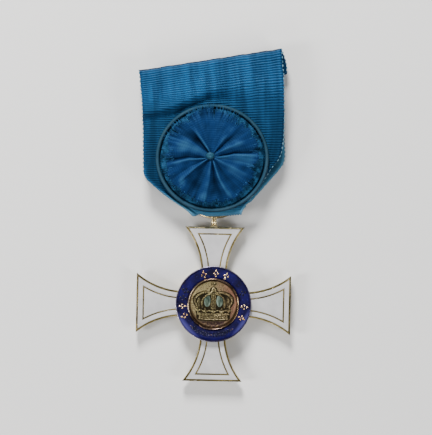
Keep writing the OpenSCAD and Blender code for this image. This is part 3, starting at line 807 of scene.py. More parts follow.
# The ribbon: one strip of ribbed silk, 38.7 mm wide. From the tail behind the slanting top fold
# it runs down the front, round a lobe in front of the ring, back through the ring and up the
# back over the pin. The ribs are the weft, and each selvedge has small picots.
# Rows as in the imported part: y, z, left, right, slope, sag.
RIBBON_ROWS = np.array([
    [33, 3.05, -17.6, 18.7, 0.3, 0], [37.1, 3.05, -19.2, 18.4, 0.245, 0],
    [40.7, 3.05, -20.9, 17.6, 0.19, 0], [41.7, 3.55, -21.3, 17.2, 0.176, 0],
    [42.05, 4.25, -21.4, 17.1, 0.175, 0], [41.7, 5, -21.35, 17.1, 0.174, 0],
    [40.5, 5.45, -21.2, 17.2, 0.172, 0], [38, 5.5, -21, 17.4, 0.16, 0],
    [35.4, 5.5, -20.7, 17.7, 0.15, 0], [33.4, 5.45, -20.5, 17.8, 0.13, 0],
    [31.6, 5.4, -20.4, 17.9, 0.1, 0], [29.6, 5.35, -20.3, 18, 0.075, 0],
    [26.6, 5.35, -20.2, 18.1, 0.05, 0], [22.6, 5.35, -20, 18.1, 0.035, 0],
    [18.6, 5.35, -19.9, 17.8, 0.02, 0], [15.2, 5.35, -19.8, 16.9, 0.02, 0],
    [12.4, 5.35, -19.7, 14.7, 0.01, 0], [9.8, 5.35, -19.3, 13.1, 0, 0],
    [7.4, 5.35, -16.8, 11.5, 0, 0], [5, 5.35, -13.9, 9.8, 0, 0],
    [2.6, 5.36, -10.5, 8.3, 0, 0.001], [0.9, 5.38, -7.8, 7.4, 0.01, 0.003],
    [0.2, 5.2, -6.6, 7.1, 0.03, 0.005], [-0.03, 4.76, -5.9, 7, 0.035, 0.007],
    [0.2, 4.32, -5.6, 6.8, 0.035, 0.01], [0.9, 4.14, -5.3, 5.9, 0.02, 0.022],
    [1.45, 3.8, -5.1, 4.9, 0, 0.028], [1.55, 3.1, -5, 4.7, 0, 0.028],
    [1.6, 2.4, -5, 4.8, 0, 0.028], [1.75, 1.75, -5.3, 5.2, 0, 0.023],
    [2.15, 1.28, -6.2, 6.1, 0, 0.015], [3, 1.06, -8, 7.7, 0, 0.005],
    [4.4, 1.05, -10.6, 9.4, 0, -0.009], [6.4, 1.05, -13.6, 11.1, 0, -0.008],
    [9, 1.05, -17, 13.4, 0, -0.005], [11, 1.05, -19.2, 15.3, 0, -0.003],
    [14.3, 1.05, -19.7, 18, 0, -0.0015], [16.4, 1.1, -19.7, 18.6, 0, 0],
    [18.6, 1.3, -19.75, 18.5, 0, 0], [21, 2.2, -19.8, 18.3, 0.01, 0],
    [24, 3.6, -19.8, 18, 0.02, 0], [27, 4.25, -19.8, 17.8, 0.04, 0],
    [31.5, 4.25, -19.8, 17.5, 0.06, 0], [36, 4.25, -20, 17.2, 0.09, 0]])
FRONT_ROWS = (6, 21)
# Along the crease over the rosette: x, y, share of its height, reach of its lower side.
CREST = np.array([[-22, 27.0, 1, 2.1], [-16, 27.9, 1, 2.1], [-11.6, 29.3, 1, 2.1],
                  [-7.5, 31.2, 0.95, 2.1], [-3, 33.2, 0.8, 2.4], [1.4, 34.3, 0.6, 3.6],
                  [6, 34.6, 0.5, 5.4], [10, 34.6, 0.45, 8.5], [20, 34.6, 0.4, 12]])
CREST_HEIGHT, CREST_ABOVE = 1.5, 7.5
SAG_X = -0.3
LOBE_LIFT, LOBE_LIFT_X, LOBE_LIFT_HALF = 0.35, -4.0, 1.6
RIB_PITCH, RIB_DEPTH, RIB_TOP = 0.65, 0.13, 0.08
RIB_STEPS = 5
RIBBON_COLUMNS = 48
SILK_T = 0.33
RIBBON_W = 38.7


def ribbon_rows(v):
    """The rows at the places v along the table, on a smooth line through the table's rows."""
    last = len(RIBBON_ROWS) - 1
    i = np.minimum(np.floor(v).astype(int), last - 1)
    near = [RIBBON_ROWS[np.clip(i + step, 0, last)] for step in (-1, 0, 1, 2)]
    return smooth_between(*near, (v - i)[:, None])


def looked_up(place, table, column, period=None):
    """A value between the rows of a table, whose first column holds the places."""
    return np.interp(place, table[:, 0], table[:, column], period=period)


def crest_lift(x, y):
    """How far the crease over the rosette lifts the ribbon's front."""
    crest_y, height, below = (looked_up(x, CREST, column) for column in (1, 2, 3))
    off = y - crest_y
    share = np.clip(off / np.where(off > 0, CREST_ABOVE, below), -1, 1)
    return CREST_HEIGHT * height * (1 + np.cos(np.pi * share)) / 2


def by_row(v, rows, values):
    """A value given for some rows of the ribbon's table, for each place v along it."""
    return np.interp(v, rows, values)[:, None]


def ribbon_middle(v, columns):
    """Points on the middle of the cloth, one line of them for each place v."""
    y0, z0, left, right, slope, sag = (column[:, None] for column in ribbon_rows(v).T)
    x = left + (right - left) * np.linspace(0, 1, columns + 1)
    y = y0 + slope * x + sag * (x - SAG_X) ** 2
    near_lift = np.clip((x - LOBE_LIFT_X) / LOBE_LIFT_HALF, -1, 1)
    lifted = LOBE_LIFT * by_row(v, [20, 22, 24, 26], [0, 1, 1, 0])
    y += lifted * np.maximum(0, np.cos(near_lift * np.pi / 2))
    front = ((v >= FRONT_ROWS[0]) & (v <= FRONT_ROWS[1]))[:, None]
    return np.stack([x, y, z0 + front * crest_lift(x, y)], axis=2)


def grid_mesh(name, points, flat, tone, closed=False):
    """A sheet's mesh from a grid of points in millimetres.

    The cut cloth is its UV map. Its attribute tone is 1 on plain silk, less where it is darkened,
    and up to 2 where it is made pale: painted shade and light, with some uneven tone.
    """
    rows, columns = points.shape[:2]
    index = np.arange(rows * columns).reshape(rows, columns)
    right = np.roll(index, -1, axis=1) if closed else index[:, 1:]
    here = index if closed else index[:, :-1]
    quads = np.stack([here[:-1], right[:-1], right[1:], here[1:]], axis=-1).reshape(-1, 4)
    mesh = bpy.data.meshes.new(name)
    mesh.from_pydata((points.reshape(-1, 3) * MM).tolist(), [], quads.tolist())
    layer = mesh.uv_layers.new(name="cloth")
    loops = np.array([loop.vertex_index for loop in mesh.loops])
    layer.data.foreach_set("uv", flat.reshape(-1, 2)[loops].astype(np.float32).ravel())
    tones = mesh.attributes.new("tone", "FLOAT", "POINT")
    spread = np.broadcast_to(tone, (rows, columns)).astype(np.float32)
    tones.data.foreach_set("value", spread.ravel())
    piece = placed(name, mesh)
    bpy.ops.object.shade_smooth()
    return piece


def hill(off, width):
    """A smooth hill over the distance off from its middle, 1 at the top."""
    return np.exp(-(off / width) ** 2)


# v is a place along the table of rows, and at the same place in millimetres along the ribbon.
fine = np.linspace(0, len(RIBBON_ROWS) - 1, 4000)
run = lengths_along(ribbon_middle(fine, 2)[:, 1])
ribbon_length = run[-1]
at = np.linspace(0, ribbon_length, int(ribbon_length / RIB_PITCH) * RIB_STEPS + 1)
v = np.interp(at, run, fine)
middle = ribbon_middle(v, RIBBON_COLUMNS)
across = np.gradient(middle, axis=1)
outward = np.cross(np.gradient(middle, axis=0), across)
outward /= np.linalg.norm(outward, axis=2, keepdims=True)
x, y = middle[:, :, 0], middle[:, :, 1]
from_left = np.linalg.norm(middle - middle[:, :1], axis=2)
from_right = np.linalg.norm(middle - middle[:, -1:], axis=2)

# The ribs are evenly spaced along the ribbon's middle line. They fade where the cloth is drawn
# together at the ring, and where the left edge of the front is rolled under.
rolled = by_row(v, [15.5, 17, 22, 23.5], [0, 1, 1, 0])
drawn = by_row(v, [0, 18, 21, 23, 30, 33, 43], [1, 1, 0.2, 0.1, 0.3, 1, 1])
drawn = drawn * (1 - rolled * hill(from_left, 0.9))
wander = 0.05 * np.sin(x / 2.9 + 0.3 * y) + 0.03 * np.sin(x / 0.9 - 0.7 * y)
valley = (0.5 - 0.5 * np.cos(2 * np.pi * (at[:, None] + wander) / RIB_PITCH)) ** 0.8
ripple = 0.1 * np.sin(x * 0.95 + 0.06 * y) + 0.07 * np.sin(x * 1.9 - 0.1 * y + 1)
proud = by_row(v, [0, 24, 25.5, 27.5, 29, 43], [0.4, 0.4, 0.1, 0.1, 0.4, 0.4])
outer_face = proud + RIB_TOP - RIB_DEPTH * drawn * valley + np.minimum(ripple, 0.02) * drawn
# The selvedges are a little thicker, and the lobe's right half has fine gathers.
u = np.linspace(0, 1, RIBBON_COLUMNS + 1)
outer_face += 0.06 * hill(np.minimum(u, 1 - u) * RIBBON_W, 0.5)
gathers = by_row(v, [19, 21.5, 24, 25.5], [0, 1, 1, 0]) * np.clip((u - 0.45) / 0.3, 0, 1)
outer_face += gathers * 0.14 * np.sin(2 * np.pi * (18 * u + 0.5 * u ** 2))
roll = hill(from_left - 0.45, 0.5) - hill(from_left - 1.45, 0.35)
outer_face += 0.3 * rolled * roll
cloth = middle + outward * (outer_face - SILK_T / 2)[:, :, None]
flat = np.stack([np.broadcast_to(u * RIBBON_W * MM, cloth.shape[:2]),
                 (at[:, None] + wander) * MM], axis=2)

# Painted shade darkens the silk along the top fold and low on the front. Painted light makes it
# pale on the lobe, the rolled edge, the right edge of lobe and back, and under the crease's left.
tone = by_row(v, [3.2, 3.9, 4.4, 5.2], [1, 0.3, 0.3, 1]) * np.ones_like(x)
tone *= by_row(v, [18, 20.5, 22, 24.5, 27], [1, 1.35, 1.6, 1.6, 1])
tone *= by_row(v, [8.5, 12, 18, 20.5], [1, 0.6, 0.46, 1])
tone += rolled * hill(from_left - 0.1, 0.6)
lobe_side = by_row(v, [18.5, 20, 23, 24.5], [0, 1, 1, 0])
behind = by_row(v, [29, 32, 38, 41], [0, 1, 1, 0])
tone += (lobe_side + behind) * hill(from_right, 0.5) + 0.5 * behind * np.exp(-from_right / 4)
below_crest = looked_up(x, CREST, 1) - y
tone += (0.45 * by_row(v, [4.5, 5.5, 14, 15], [0, 1, 1, 0])
         * np.interp(x, [-16, -10], [1, 0]) * hill(below_crest - 1.9, 0.7))
ribbon = grid_mesh("silk_ribbon", cloth, flat, tone)
changed_by("SOLIDIFY", ribbon, thickness=SILK_T * MM, offset=0, use_even_offset=False)

# The weave has ribs across the cloth, fine threads along it, pale and dark streaks along it, and
# broken dashes where single ribs are worn.
SILK_TINT = (0.12, 0.45, 0.85)
THREAD_PITCH, THREAD_HEIGHT = 0.16, 0.22


def waves(source, pitch):
    """Even waves from 0 to 1 along a length, so far apart."""
    angle = sum_of("MULTIPLY", sum_of("DIVIDE", source, pitch), 2 * math.pi)
    return stretch(sum_of("COSINE", angle), -1, 1)


weave, way_in, way_out = new_group("silk_weave", {
    "Vector": "Vector", "Light": "Color", "Dark": "Color", "Rib Pitch": "Float",
    "Thread Pitch": "Float"})
cut_place = (way_in, "Vector")
ribs = waves(along(cut_place, "Y"), (way_in, "Rib Pitch"))
threads = waves(along(cut_place, "X"), (way_in, "Thread Pitch"))
streaks = noise(drawn_out(cut_place, (1, 0.1, 1)), 420, 4)
dashes = noise(drawn_out(cut_place, (0.22, 1.5, 1)), 1700, 3)
broken = stretch(dashes, 0.32, 0.68, 0, 0.3)
faded = mix(stretch(streaks, 0.4, 0.6, 0.34, 1), (way_in, "Dark"), (way_in, "Light"))
# The rib valleys take the dark tone: partly the weave's own colour, partly painted shade.
on_ribs = mix(ribs, (way_in, "Dark"), faded)
feed(mix(broken, on_ribs, faded), way_out, "Color")
feed(stretch(broken, 0, 0.3, 0.42, 0.56), way_out, "Roughness")
feed(sum_of("MULTIPLY_ADD", threads, THREAD_HEIGHT, ribs), way_out, "Height")


def silk_material(name, tones, rib_pitch=RIB_PITCH, thread_pitch=THREAD_PITCH, gloss=0.4):
    """Woven silk in a light, a dark and a pale tone, with shade and light painted by the tone."""
    made, shader = new_material(name, Specular_IOR_Level=gloss, Specular_Tint=SILK_TINT)
    tree, (light, dark, pale) = made.node_tree, tones
    cut = add_node("UVMap", {}, tree, uv_map="cloth"), "UV"
    finish = add_node("Group", {"Vector": cut, "Light": light, "Dark": dark,
                                "Rib Pitch": rib_pitch * MM, "Thread Pitch": thread_pitch * MM},
                      node_tree=weave)
    tone = add_node("Attribute", {}, tree, attribute_name="tone"), "Fac"
    darkened = add_node("HueSaturation", {"Value": stretch(tone, 0, 1), "Color": (finish, "Color")})
    feed(mix(stretch(tone, 1, 2), (darkened, "Color"), pale), shader, "Base Color")
    duller = sum_of("ADD", (finish, "Roughness"), stretch(tone, 0.3, 0.8, 0.4, 0))
    feed(duller, shader, "Roughness")
    bump((finish, "Height"), shader, 0.03)
    return made


ribbon_silk = silk_material("ribbon_silk", (
    (0.0088, 0.062, 0.168), (0.0, 0.005, 0.023), (0.062, 0.178, 0.278)))
hand_in(ribbon, "silk_ribbon", ribbon_silk, "ribbon_silk", "ribbon")

# The picots are small loops of the weft. None stand where an edge is folded in, between the rows
# given for it.
PICOT_PITCH, PICOT_OUT = 1.25, 0.02
PICOT_HALF = (0.2, 0.36, 0.17)
picot_silk = mottled("picot_silk", (900, 3, 0.35, 0.65),
                     ((0.05, 0.14, 0.19), (0.16, 0.28, 0.33)), (2500, 2, 0.5, 0.75), None,
                     Specular_Tint=SILK_TINT)[0]
picot_places = []
for column, push, folded in ((0, -1, (16.8, 31.5)), (-1, 1, (21, 35.8))):
    line = cloth[:, column]
    lengths = lengths_along(line)
    for s in np.arange(PICOT_PITCH / 2, lengths[-1], PICOT_PITCH):
        row = int(np.searchsorted(lengths, s))
        if folded[0] < v[row] < folded[1]:
            continue
        ahead = Vector(line[min(row + 3, len(line) - 1)] - line[max(row - 3, 0)]).normalized()
        out = Vector(across[row, column]).normalized() * push
        turn = Matrix((out, ahead, out.cross(ahead))).transposed().to_4x4()
        picot_places.append(Matrix.Translation((Vector(line[row]) + out * PICOT_OUT) * MM) @ turn)
picot = added(bpy.ops.mesh.primitive_uv_sphere_add, segments=8, ring_count=6, radius=1)
picot.scale = Vector(PICOT_HALF) * MM
bpy.ops.object.transform_apply(scale=True)
picots = hand_in(repeated(picot, picot_places), "ribbon_picots", picot_silk, "ribbon_silk")


# The rosette's backing: a disc of stiff cloth, sewn flat on the ribbon, a little wider than high,
# as the rim round it is. Its ribs show faintly. Its dark tone and black blots are painted shade.
BACKING_STRETCH = 1.05
backing_centre, backing_r, backing_low, backing_top = measured("rosette_backing")
disc = [(backing_r - 0.2, backing_low), (backing_r, backing_low + 0.2)]
disc += rounded_corner(backing_r - 0.35, backing_r, backing_top - 0.35, backing_top, 4)
disc += [(11.5, backing_top), (8, backing_top)]
backing = turned(disc, backing_centre, 120)
for corner in backing.data.vertices:
    corner.co.x = backing_centre[0] + BACKING_STRETCH * (corner.co.x - backing_centre[0])
backing_cloth, shader, place, tone = mottled(
    "backing_cloth", (1200, 4, 0.3, 0.7), ((0.004, 0.018, 0.046), (0.013, 0.05, 0.11)),
    (2500, 2, 0.7, 0.9), (5000, 3, 0.05), Specular_Tint=SILK_TINT)
ribs = waves(along(place, "Y"), RIB_PITCH * MM)
ribbed = mix(ribs, tone, (0.015, 0.06, 0.125))
# Black blots of painted shadow under the frayed edge.
shadow_blots = stretch(noise(place, 520, 4), 0.44, 0.56)
feed(mix(shadow_blots, ribbed, (0.001, 0.005, 0.014)), shader, "Base Color")
hand_in(backing, "backing_disc", backing_cloth, "backing_cloth", "rosette_backing")


# The rosette's rim: a cord covered with greyed silk, wound slantwise, and bent to an oval.
RIM_SECTORS = 220
RIM_UNEVEN = 0.02
RIM_SLANT = 0.4 * MM
rim_mid, (rim_half_w, rim_half_h, rim_tube) = middle_and_half("rosette_rim")
rim_mid = Vector(rim_mid)
rim = added(bpy.ops.mesh.primitive_torus_add, major_segments=RIM_SECTORS, minor_segments=16,
            major_radius=1, minor_radius=rim_tube / rim_half_w, location=(0, 0, 0),
            generate_uvs=False)
rng = random.Random(4)
uneven = [rng.uniform(-RIM_UNEVEN, RIM_UNEVEN) for i in range(RIM_SECTORS)]
wound = rim.data.uv_layers.new(name="cloth")
for corner in rim.data.vertices:
    around = math.atan2(corner.co.y, corner.co.x)
    spine = Vector((math.cos(around), math.sin(around), 0))
    off = (corner.co - spine) * rim_half_w
    oval = Vector(((rim_half_w - rim_tube) * spine.x, (rim_half_h - rim_tube) * spine.y, 0))
    sector = round((around / (2 * math.pi)) * RIM_SECTORS) % RIM_SECTORS
    corner.co = rim_mid + oval + off * (1 + uneven[sector])
for loop in rim.data.loops:
    corner = rim.data.vertices[loop.vertex_index].co - rim_mid
    around = math.atan2(corner.y, corner.x)
    out = math.hypot(corner.x, corner.y) - (rim_half_w - rim_tube)
    over = math.atan2(corner.z, out)
    wound.data[loop.index].uv = (over * rim_tube, around * rim_half_w + over * RIM_SLANT)
# The tone paints a highlight on the cord's top and shade on its flanks; patch varies it slowly.
tones = rim.data.attributes.new("tone", "FLOAT", "POINT")
for corner in rim.data.vertices:
    lit_top = max(0.0, (corner.co.z - rim_mid.z) / rim_tube) ** 2
    patch = math.sin(corner.co.x / (1.7 * MM)) * math.cos(corner.co.y / (2.3 * MM))
    tones.data[corner.index].value = 0.5 + 0.8 * lit_top + 0.15 * patch
pick(rim)
bpy.ops.object.shade_smooth()
rim_silk = silk_material("rim_silk", (
    (0.018, 0.048, 0.08), (0.009, 0.027, 0.048), (0.036, 0.08, 0.11)), 0.42, 0.2, 0.1)
hand_in(rim, "rosette_rim_cord", rim_silk, "rim_silk", "rosette_rim")


# The rosette: a strip of the same silk, gathered tight in the middle and spread to a disc. Its
# folds lie over one another like pleats, its ribs run round it, and its cut edge is frayed.
# Round the middle: direction in degrees, height of the folds from 0 to 1, the tone there, which
# paints shade in the valleys and light on the ridges, and how far out the fold keeps its shape.
FOLDS = np.array([
    [-8, 0.62, 1.05, 13], [-1, 0.85, 1.2, 13], [5.5, 1.0, 1.2, 13], [9, 0.0, 0.15, 13],
    [15, 0.35, 0.6, 12], [21, 0.6, 0.85, 11], [28, 0.95, 1.25, 9.5], [36, 0.6, 0.9, 9],
    [46, 0.1, 0.35, 9], [51, 0.6, 0.75, 8], [56, 0.95, 1.1, 7.5], [66, 0.6, 0.9, 8],
    [90, 0.5, 0.82, 13], [112, 0.55, 0.8, 13], [118, 0.8, 0.95, 9], [122.5, 1.0, 1.2, 8.8],
    [127, 0.03, 0.15, 9], [134, 0.2, 0.4, 9], [141, 0.35, 0.5, 9.5], [146, 0.85, 1.15, 9.5],
    [158, 0.75, 1.3, 10.5], [168, 0.6, 1.1, 10.5], [176, 0.2, 0.6, 11], [182, 0.05, 0.12, 13],
    [184.5, 0.2, 0.4, 13], [187.5, 0.95, 1.1, 13], [196, 0.6, 0.85, 13], [206, 0.4, 0.8, 13],
    [212, 0.7, 1.0, 11], [216, 1.0, 1.2, 11], [219, 0.55, 0.8, 11], [226, 0.28, 0.5, 10],
    [240, 0.2, 0.5, 12], [252, 0.45, 0.65, 13], [260, 0.8, 1.1, 13], [266, 0.95, 1.2, 13],
    [271, 0.5, 0.7, 11], [278, 0.05, 0.15, 9.5], [284, 0.3, 0.45, 10], [290, 1.0, 1.1, 12],
    [295, 0.5, 0.85, 12], [306, 0.15, 0.45, 11], [318, 0.4, 0.8, 11], [326, 0.8, 1.1, 10.5],
    [332, 0.95, 1.3, 10.5], [340, 0.6, 0.95, 12]])
# How far a fold stands aside near the middle and at the edge: direction, degrees, degrees.
DRIFT = np.array([[5.5, -16, -3], [28, 4, -3], [56, 8, -5], [90, 0, 0], [122, -9, 5], [146.5, 1, 4],
                  [187, 18, 3], [216.5, -5, 6], [266, -4, -5], [290, 0, 5], [331.5, 1, 2]])
# Places where the cut edge is torn back: direction, width in degrees, depth.
TEARS = ((53.6, 4, 1.1), (42.5, 4, 1.3), (10, 5, 1.3), (-9, 6, 0.7), (-16, 8, 0.9), (184, 3, 1.6),
         (168, 5, 0.8), (226, 8, 0.7), (240, 10, 0.8), (276, 12, 0.6), (318, 9, 0.6), (330, 6, 0.5))
# Pale and dark patches of tone: direction, distance out, size, strength.
TONE_PATCHES = ((223, 10.6, 1.1, 0.5), (261, 11, 1.2, 0.3), (296, 11, 1.0, 0.3), (-3, 9, 2.0, 0.2),
        (-38, 7.5, 1.6, 0.2), (163, 8, 1.6, 0.2), (96, 10.5, 1.8, 0.15), (60, 9.5, 1.2, 0.2),
        (-20, 9.4, 1.2, -0.35), (132, 6.5, 1.2, -0.2), (245, 8, 1.6, -0.2))
# The folds with a sharp crest, painted with a highlight: direction, how far out it reaches.
CRESTS = ((5.5, 12.6), (122.5, 8.8), (187.5, 11.5), (290, 11.5))
# The middle of each fold, which its ribs cross at a right angle.
FOLD_AXES = (27, 52, 90, 118, 150, 184, 203, 226, 256, 284, 303, 332, 356)
# From the middle outwards: radius, height of the cloth, height of its folds.
SPREAD = np.array([
    [0, 0.95, 0], [0.9, 0.9, 0.1], [1.5, 0.7, 0.6], [2.5, 0.55, 1.05], [4, 0.5, 1.15],
    [6.5, 0.48, 1.1], [9, 0.44, 0.95], [11, 0.36, 0.75], [12.9, 0.22, 0.5]])
FAN_SECTORS, FAN_RINGS = 660, 52
FAN_BASE = 7.3
FAN_T = 0.28
CUTS = 150
# How deep the cuts are and how frayed the silk is round the middle: at the upper half the most.
QUARTERS = [0, 40, 60, 165, 185, 360]

fan_centre, fan_r = measured("rosette_fan")[:2]


def aside_of(angle, direction):
    """How far an angle lies to the side of a direction, from -180 to 180 degrees."""
    return (angle - direction + 180) % 360 - 180


def round_the_middle(angle, column):
    """A column of the folds' table at each angle, softened so that no crease is a knife edge."""
    total = 0
    for off, weight in ((-1.2, 1), (-0.6, 2), (0, 3), (0.6, 2), (1.2, 1)):
        total += weight * looked_up((angle + off + 8) % 360 - 8, FOLDS, column, 360)
    return total / 9


def from_radius(radius, low, high):
    """A share that grows from 0 at one radius to 1 at another."""
    return np.clip((radius - low) / (high - low), 0, 1)


# The cut edge: teeth of uneven width and depth, on a broad wave, and the torn places.
rng = np.random.default_rng(7)
degrees = np.arange(FAN_SECTORS) * 360 / FAN_SECTORS
cuts = np.sort(rng.uniform(0, 360, CUTS))
depths = rng.uniform(0.1, 0.75, CUTS) + 0.7 * (rng.uniform(0, 1, CUTS) > 0.85)
depths *= np.interp(cuts, QUARTERS, [1, 1, 1.9, 1.9, 1, 1])
before = np.searchsorted(cuts, degrees, side="right") - 1
gap = (np.roll(cuts, -1) - cuts) % 360
tooth = ((degrees - cuts[before]) % 360) / np.maximum(gap[before], 0.1)
notch = depths[before] * np.sin(np.pi * np.clip(tooth, 0, 1)) ** 0.7
broad = 0.2 * np.sin(np.radians(degrees * 5 + 40)) + 0.15 * np.sin(np.radians(degrees * 11))
edge_r = fan_r + 0.1 - notch + np.minimum(broad, 0.1) + 0.3 * hill(degrees - 95, 35)
for direction, width, depth in TEARS:
    edge_r -= depth * hill(aside_of(degrees, direction), width / 2)

# The folds: each point takes its height and tone from the direction that its fold leans to.
share = np.linspace(0, 1, FAN_RINGS + 1)[1:, None] ** 0.85
radius = share * edge_r
inner, outer = (looked_up(degrees, DRIFT, column, 360) for column in (1, 2))
bend = inner * np.interp(radius, [1.3, 3, 6], [1, 0.35, 0])
bend += outer * np.interp(radius, [6, 12], [0, 1])
sway = np.sin(radius / 2.1 + np.radians(degrees * 3))
turn = degrees - (bend + 0.7 * sway * from_radius(radius, 0, 8))
kept = 1 / (1 + np.exp((radius - round_the_middle(turn, 3)) / 0.6))
height = (FAN_BASE + looked_up(radius, SPREAD, 1)
          + looked_up(radius, SPREAD, 2) * (0.45 + (round_the_middle(turn, 1) - 0.45) * kept))
crumple = (0.05 * np.sin(radius * 2.1 + np.radians(turn * 9)) * np.sin(np.radians(turn * 14))
           + 0.04 * np.sin(radius * 1.1 - np.radians(turn * 17)))
height += crumple * from_radius(radius, 2, 7)
patchy = 0.12 * np.sin(radius / 1.3 + np.radians(degrees * 4))
patchy *= np.sin(np.radians(degrees * 7) - radius)
# fan_tone paints shade in the folds' valleys and light on their ridges; patchy makes it uneven.
fan_tone = 0.78 + (round_the_middle(turn, 2) - 0.78) * kept + patchy


def random_streaks(count):
    """Streaks out from the middle, each with a random strength from -1 to 1."""
    return np.interp(turn, np.linspace(0, 360, count), rng.uniform(-1, 1, count), period=360)


for count, strength in ((110, 0.16), (260, 0.12)):
    streaks = random_streaks(count)
    fan_tone += strength * streaks * from_radius(radius, 4, 10)
    height += 0.3 * strength * streaks * from_radius(radius, 6, 12)
frayed = np.interp(degrees, QUARTERS, [0.4, 0.4, 1, 1, 0.5, 0.4])
fan_tone += 0.45 * frayed * random_streaks(180) * from_radius(radius, 9.8, 11.8)
east, north = radius * np.cos(np.radians(degrees)), radius * np.sin(np.radians(degrees))
for direction, out, size, strength in TONE_PATCHES:
    patch_x, patch_y = polar(direction, out)
    away = np.hypot(east - patch_x, north - patch_y)
    fan_tone += strength * hill(away, size)
# A painted highlight along each sharp crest, which is also raised a little.
for direction, reach in CRESTS:
    off = np.radians(aside_of(turn, direction)) * radius
    line = hill(off, 0.22) * np.clip((reach - radius) / 3, 0, 1) * from_radius(radius, 1, 2)
    height += 0.04 * line
    fan_tone += 0.3 * line
fan_points = np.stack([fan_centre[0] / MM + east, fan_centre[1] / MM + north, height], axis=2)

# The ribs run straight across each fold, so the cut cloth is laid out round the fold's middle.
off_axis = np.radians(aside_of(turn, np.array(FOLD_AXES)[:, None, None]))
nearest = np.take_along_axis(off_axis, np.abs(off_axis).argmin(axis=0)[None], axis=0)[0]
fan_flat = np.stack([radius * np.sin(nearest), radius * np.cos(nearest)], axis=2) * MM
fan = grid_mesh("pleated_silk", fan_points, fan_flat, fan_tone, closed=True)
with editing("DESELECT"):
    innermost = bmesh.from_edit_mesh(fan.data)
    innermost.verts.ensure_lookup_table()
    for corner in innermost.verts[:FAN_SECTORS]:
        corner.select = True
    bpy.ops.mesh.merge(type="CENTER")
    bpy.ops.mesh.select_all(action="SELECT")
    bpy.ops.mesh.normals_make_consistent(inside=False)
changed_by("SOLIDIFY", fan, thickness=FAN_T * MM, offset=0, use_even_offset=False)
fan_silk = silk_material("fan_silk", (
    (0.0075, 0.0285, 0.091), (0.0045, 0.019, 0.07), (0.03, 0.1, 0.19)), 0.6, 0.3, 0.12)
hand_in(fan, "pleated_silk", fan_silk, "rosette_silk", "rosette_fan")

# Loose thread ends stand out from the frayed edge. Each is modelled 1.2 mm long and drawn out.
THREADS, THREAD_LENGTH, THREAD_ROOT_R, THREAD_TIP_R = 330, 1.2, 0.07, 0.03
thread_silk = mottled("thread_silk", (900, 3, 0.35, 0.65),
                      ((0.003, 0.018, 0.065), (0.022, 0.085, 0.2)), (2500, 2, 0.45, 0.7),
                      None, Specular_Tint=SILK_TINT)[0]
thread = added(bpy.ops.mesh.primitive_cone_add, vertices=5, radius1=THREAD_ROOT_R * MM,
               radius2=THREAD_TIP_R * MM, depth=THREAD_LENGTH * MM, rotation=(-math.pi / 2, 0, 0))
bpy.ops.object.transform_apply(rotation=True)
thread_places = []
for number in range(THREADS):
    a = 360 * number / THREADS + rng.uniform(-0.5, 0.5)
    spot = fan_points[-1, int(a / 360 * FAN_SECTORS) % FAN_SECTORS]
    lean = math.radians(a + rng.uniform(-10, 10)) - math.pi / 2
    long = rng.uniform(1.2, 2.4) if a < 30 or 50 < a < 200 else rng.uniform(0.9, 1.8)
    foot = Vector((*polar(a, 0.15), 0)) + Vector(spot)
    thread_places.append(
        Matrix.Translation(foot * MM) @ Matrix.Rotation(lean, 4, "Z")
        @ Matrix.Rotation(rng.uniform(-0.35, 0.1), 4, "X") @ Matrix.Scale(long, 4, (0, 1, 0)))
fringe = hand_in(repeated(thread, thread_places), "frayed_threads", thread_silk, "rosette_silk")


# The button: a small mould covered with faded silk, sewn through the middle of the rosette. The
# silk is drawn in under it, so it has faint gathers round its edge and a dimple on top.
GATHERS, GATHER_DEPTH = 14, 0.035
DIMPLE_DEPTH, DIMPLE_REACH = 0.16, 0.35
BUTTON_FLATTEN = 0.84
button_centre, button_r, button_low, button_top = measured("rosette_button")
dome = [(button_r * 0.8, button_low - 0.15), (button_r, button_low + 0.12)]
dome += rounded_corner(0.1, button_r, button_low + 0.12, button_top, 9)[1:]
button = turned(dome, button_centre, 72)
for corner in button.data.vertices:
    off_x, off_y = corner.co.x - button_centre[0], corner.co.y - button_centre[1]
    out = math.hypot(off_x, off_y) / (button_r * MM)
    gathered = GATHER_DEPTH * MM * math.cos(GATHERS * math.atan2(off_y, off_x)) * out ** 3
    corner.co.z += gathered
    corner.co.z -= DIMPLE_DEPTH * MM * math.exp(-(out / DIMPLE_REACH) ** 2)
    corner.co.y = button_centre[1] + BUTTON_FLATTEN * off_y
bpy.ops.object.shade_smooth()
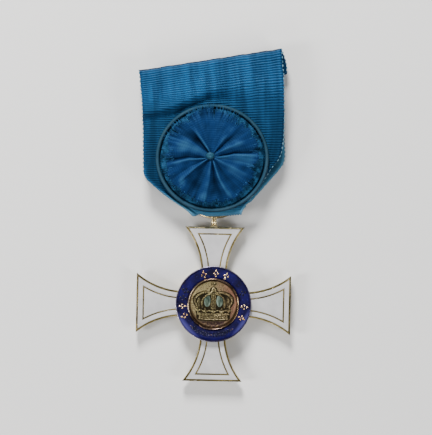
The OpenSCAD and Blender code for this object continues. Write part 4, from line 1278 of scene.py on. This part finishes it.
button_silk = mottled("button_silk", (1400, 3, 0.35, 0.65),
                      ((0.009, 0.033, 0.055), (0.022, 0.058, 0.09)), (2500, 2, 0.5, 0.7),
                      (6000, 3, 0.04), Specular_Tint=SILK_TINT)[0]
hand_in(button, "silk_button", button_silk, "button_silk", "rosette_button")


# The brooch pin: a steel bar with its needle, sewn behind the top fold, out of sight.
pin_steel = mottled("pin_steel", (600, 4, 0.35, 0.65),
                    ((0.42, 0.39, 0.35), (0.62, 0.6, 0.57)), (900, 3, 0.28, 0.45),
                    (4000, 3, 0.01), Metallic=1.0)[0]
hand_in(rounded_copy("brooch_pin", 0.08), "steel_pin", pin_steel, "pin_steel", "brooch_pin")


# The studio: a plain pale table in a dim pale room. The key light stands at the head of the
# badge, with weaker ones at its left, its right and its foot, and a broad faint one overhead.
floor_paint, shader = new_material("floor_paint", Roughness=0.9)
shade = noise(own_place(shader), 3, 2)
feed(mix(shade, (0.72, 0.72, 0.72), (0.76, 0.76, 0.76)), shader, "Base Color")
floor = added(bpy.ops.mesh.primitive_plane_add, size=4, location=(0, 0, cad_box[0].z))
floor.name = "table_top"
floor.data.materials.append(floor_paint)

world = bpy.data.worlds.new("room")
bpy.context.scene.world = world
world.use_nodes = True
room = world.node_tree.nodes["Background"]
feed((0.9, 0.94, 1.0), room, "Color")
feed(0.08, room, "Strength")

WARM, PLAIN = (1.0, 0.99, 0.97), (1.0, 1.0, 1.0)
# Place in metres, width, power and tint of each square soft light. All face the badge.
for name, place, size, power, tint in (("key", (-0.08, 0.46, 0.33), 0.16, 7.2, WARM),
                                       ("left", (-0.45, -0.12, 0.3), 0.16, 2.4, WARM),
                                       ("right", (0.42, -0.24, 0.32), 0.2, 1.7, WARM),
                                       ("foot", (-0.16, -0.42, 0.24), 0.14, 0.8, WARM),
                                       ("overhead", (0.0, 0.1, 0.95), 0.8, 0.9, PLAIN)):
    lamp = added(bpy.ops.object.light_add, type="AREA", location=place)
    lamp.name = name
    lamp.data.size = size
    lamp.data.energy = power
    lamp.data.color = tint
    lamp.rotation_euler = (-Vector(place)).to_track_quat("-Z", "Y").to_euler()
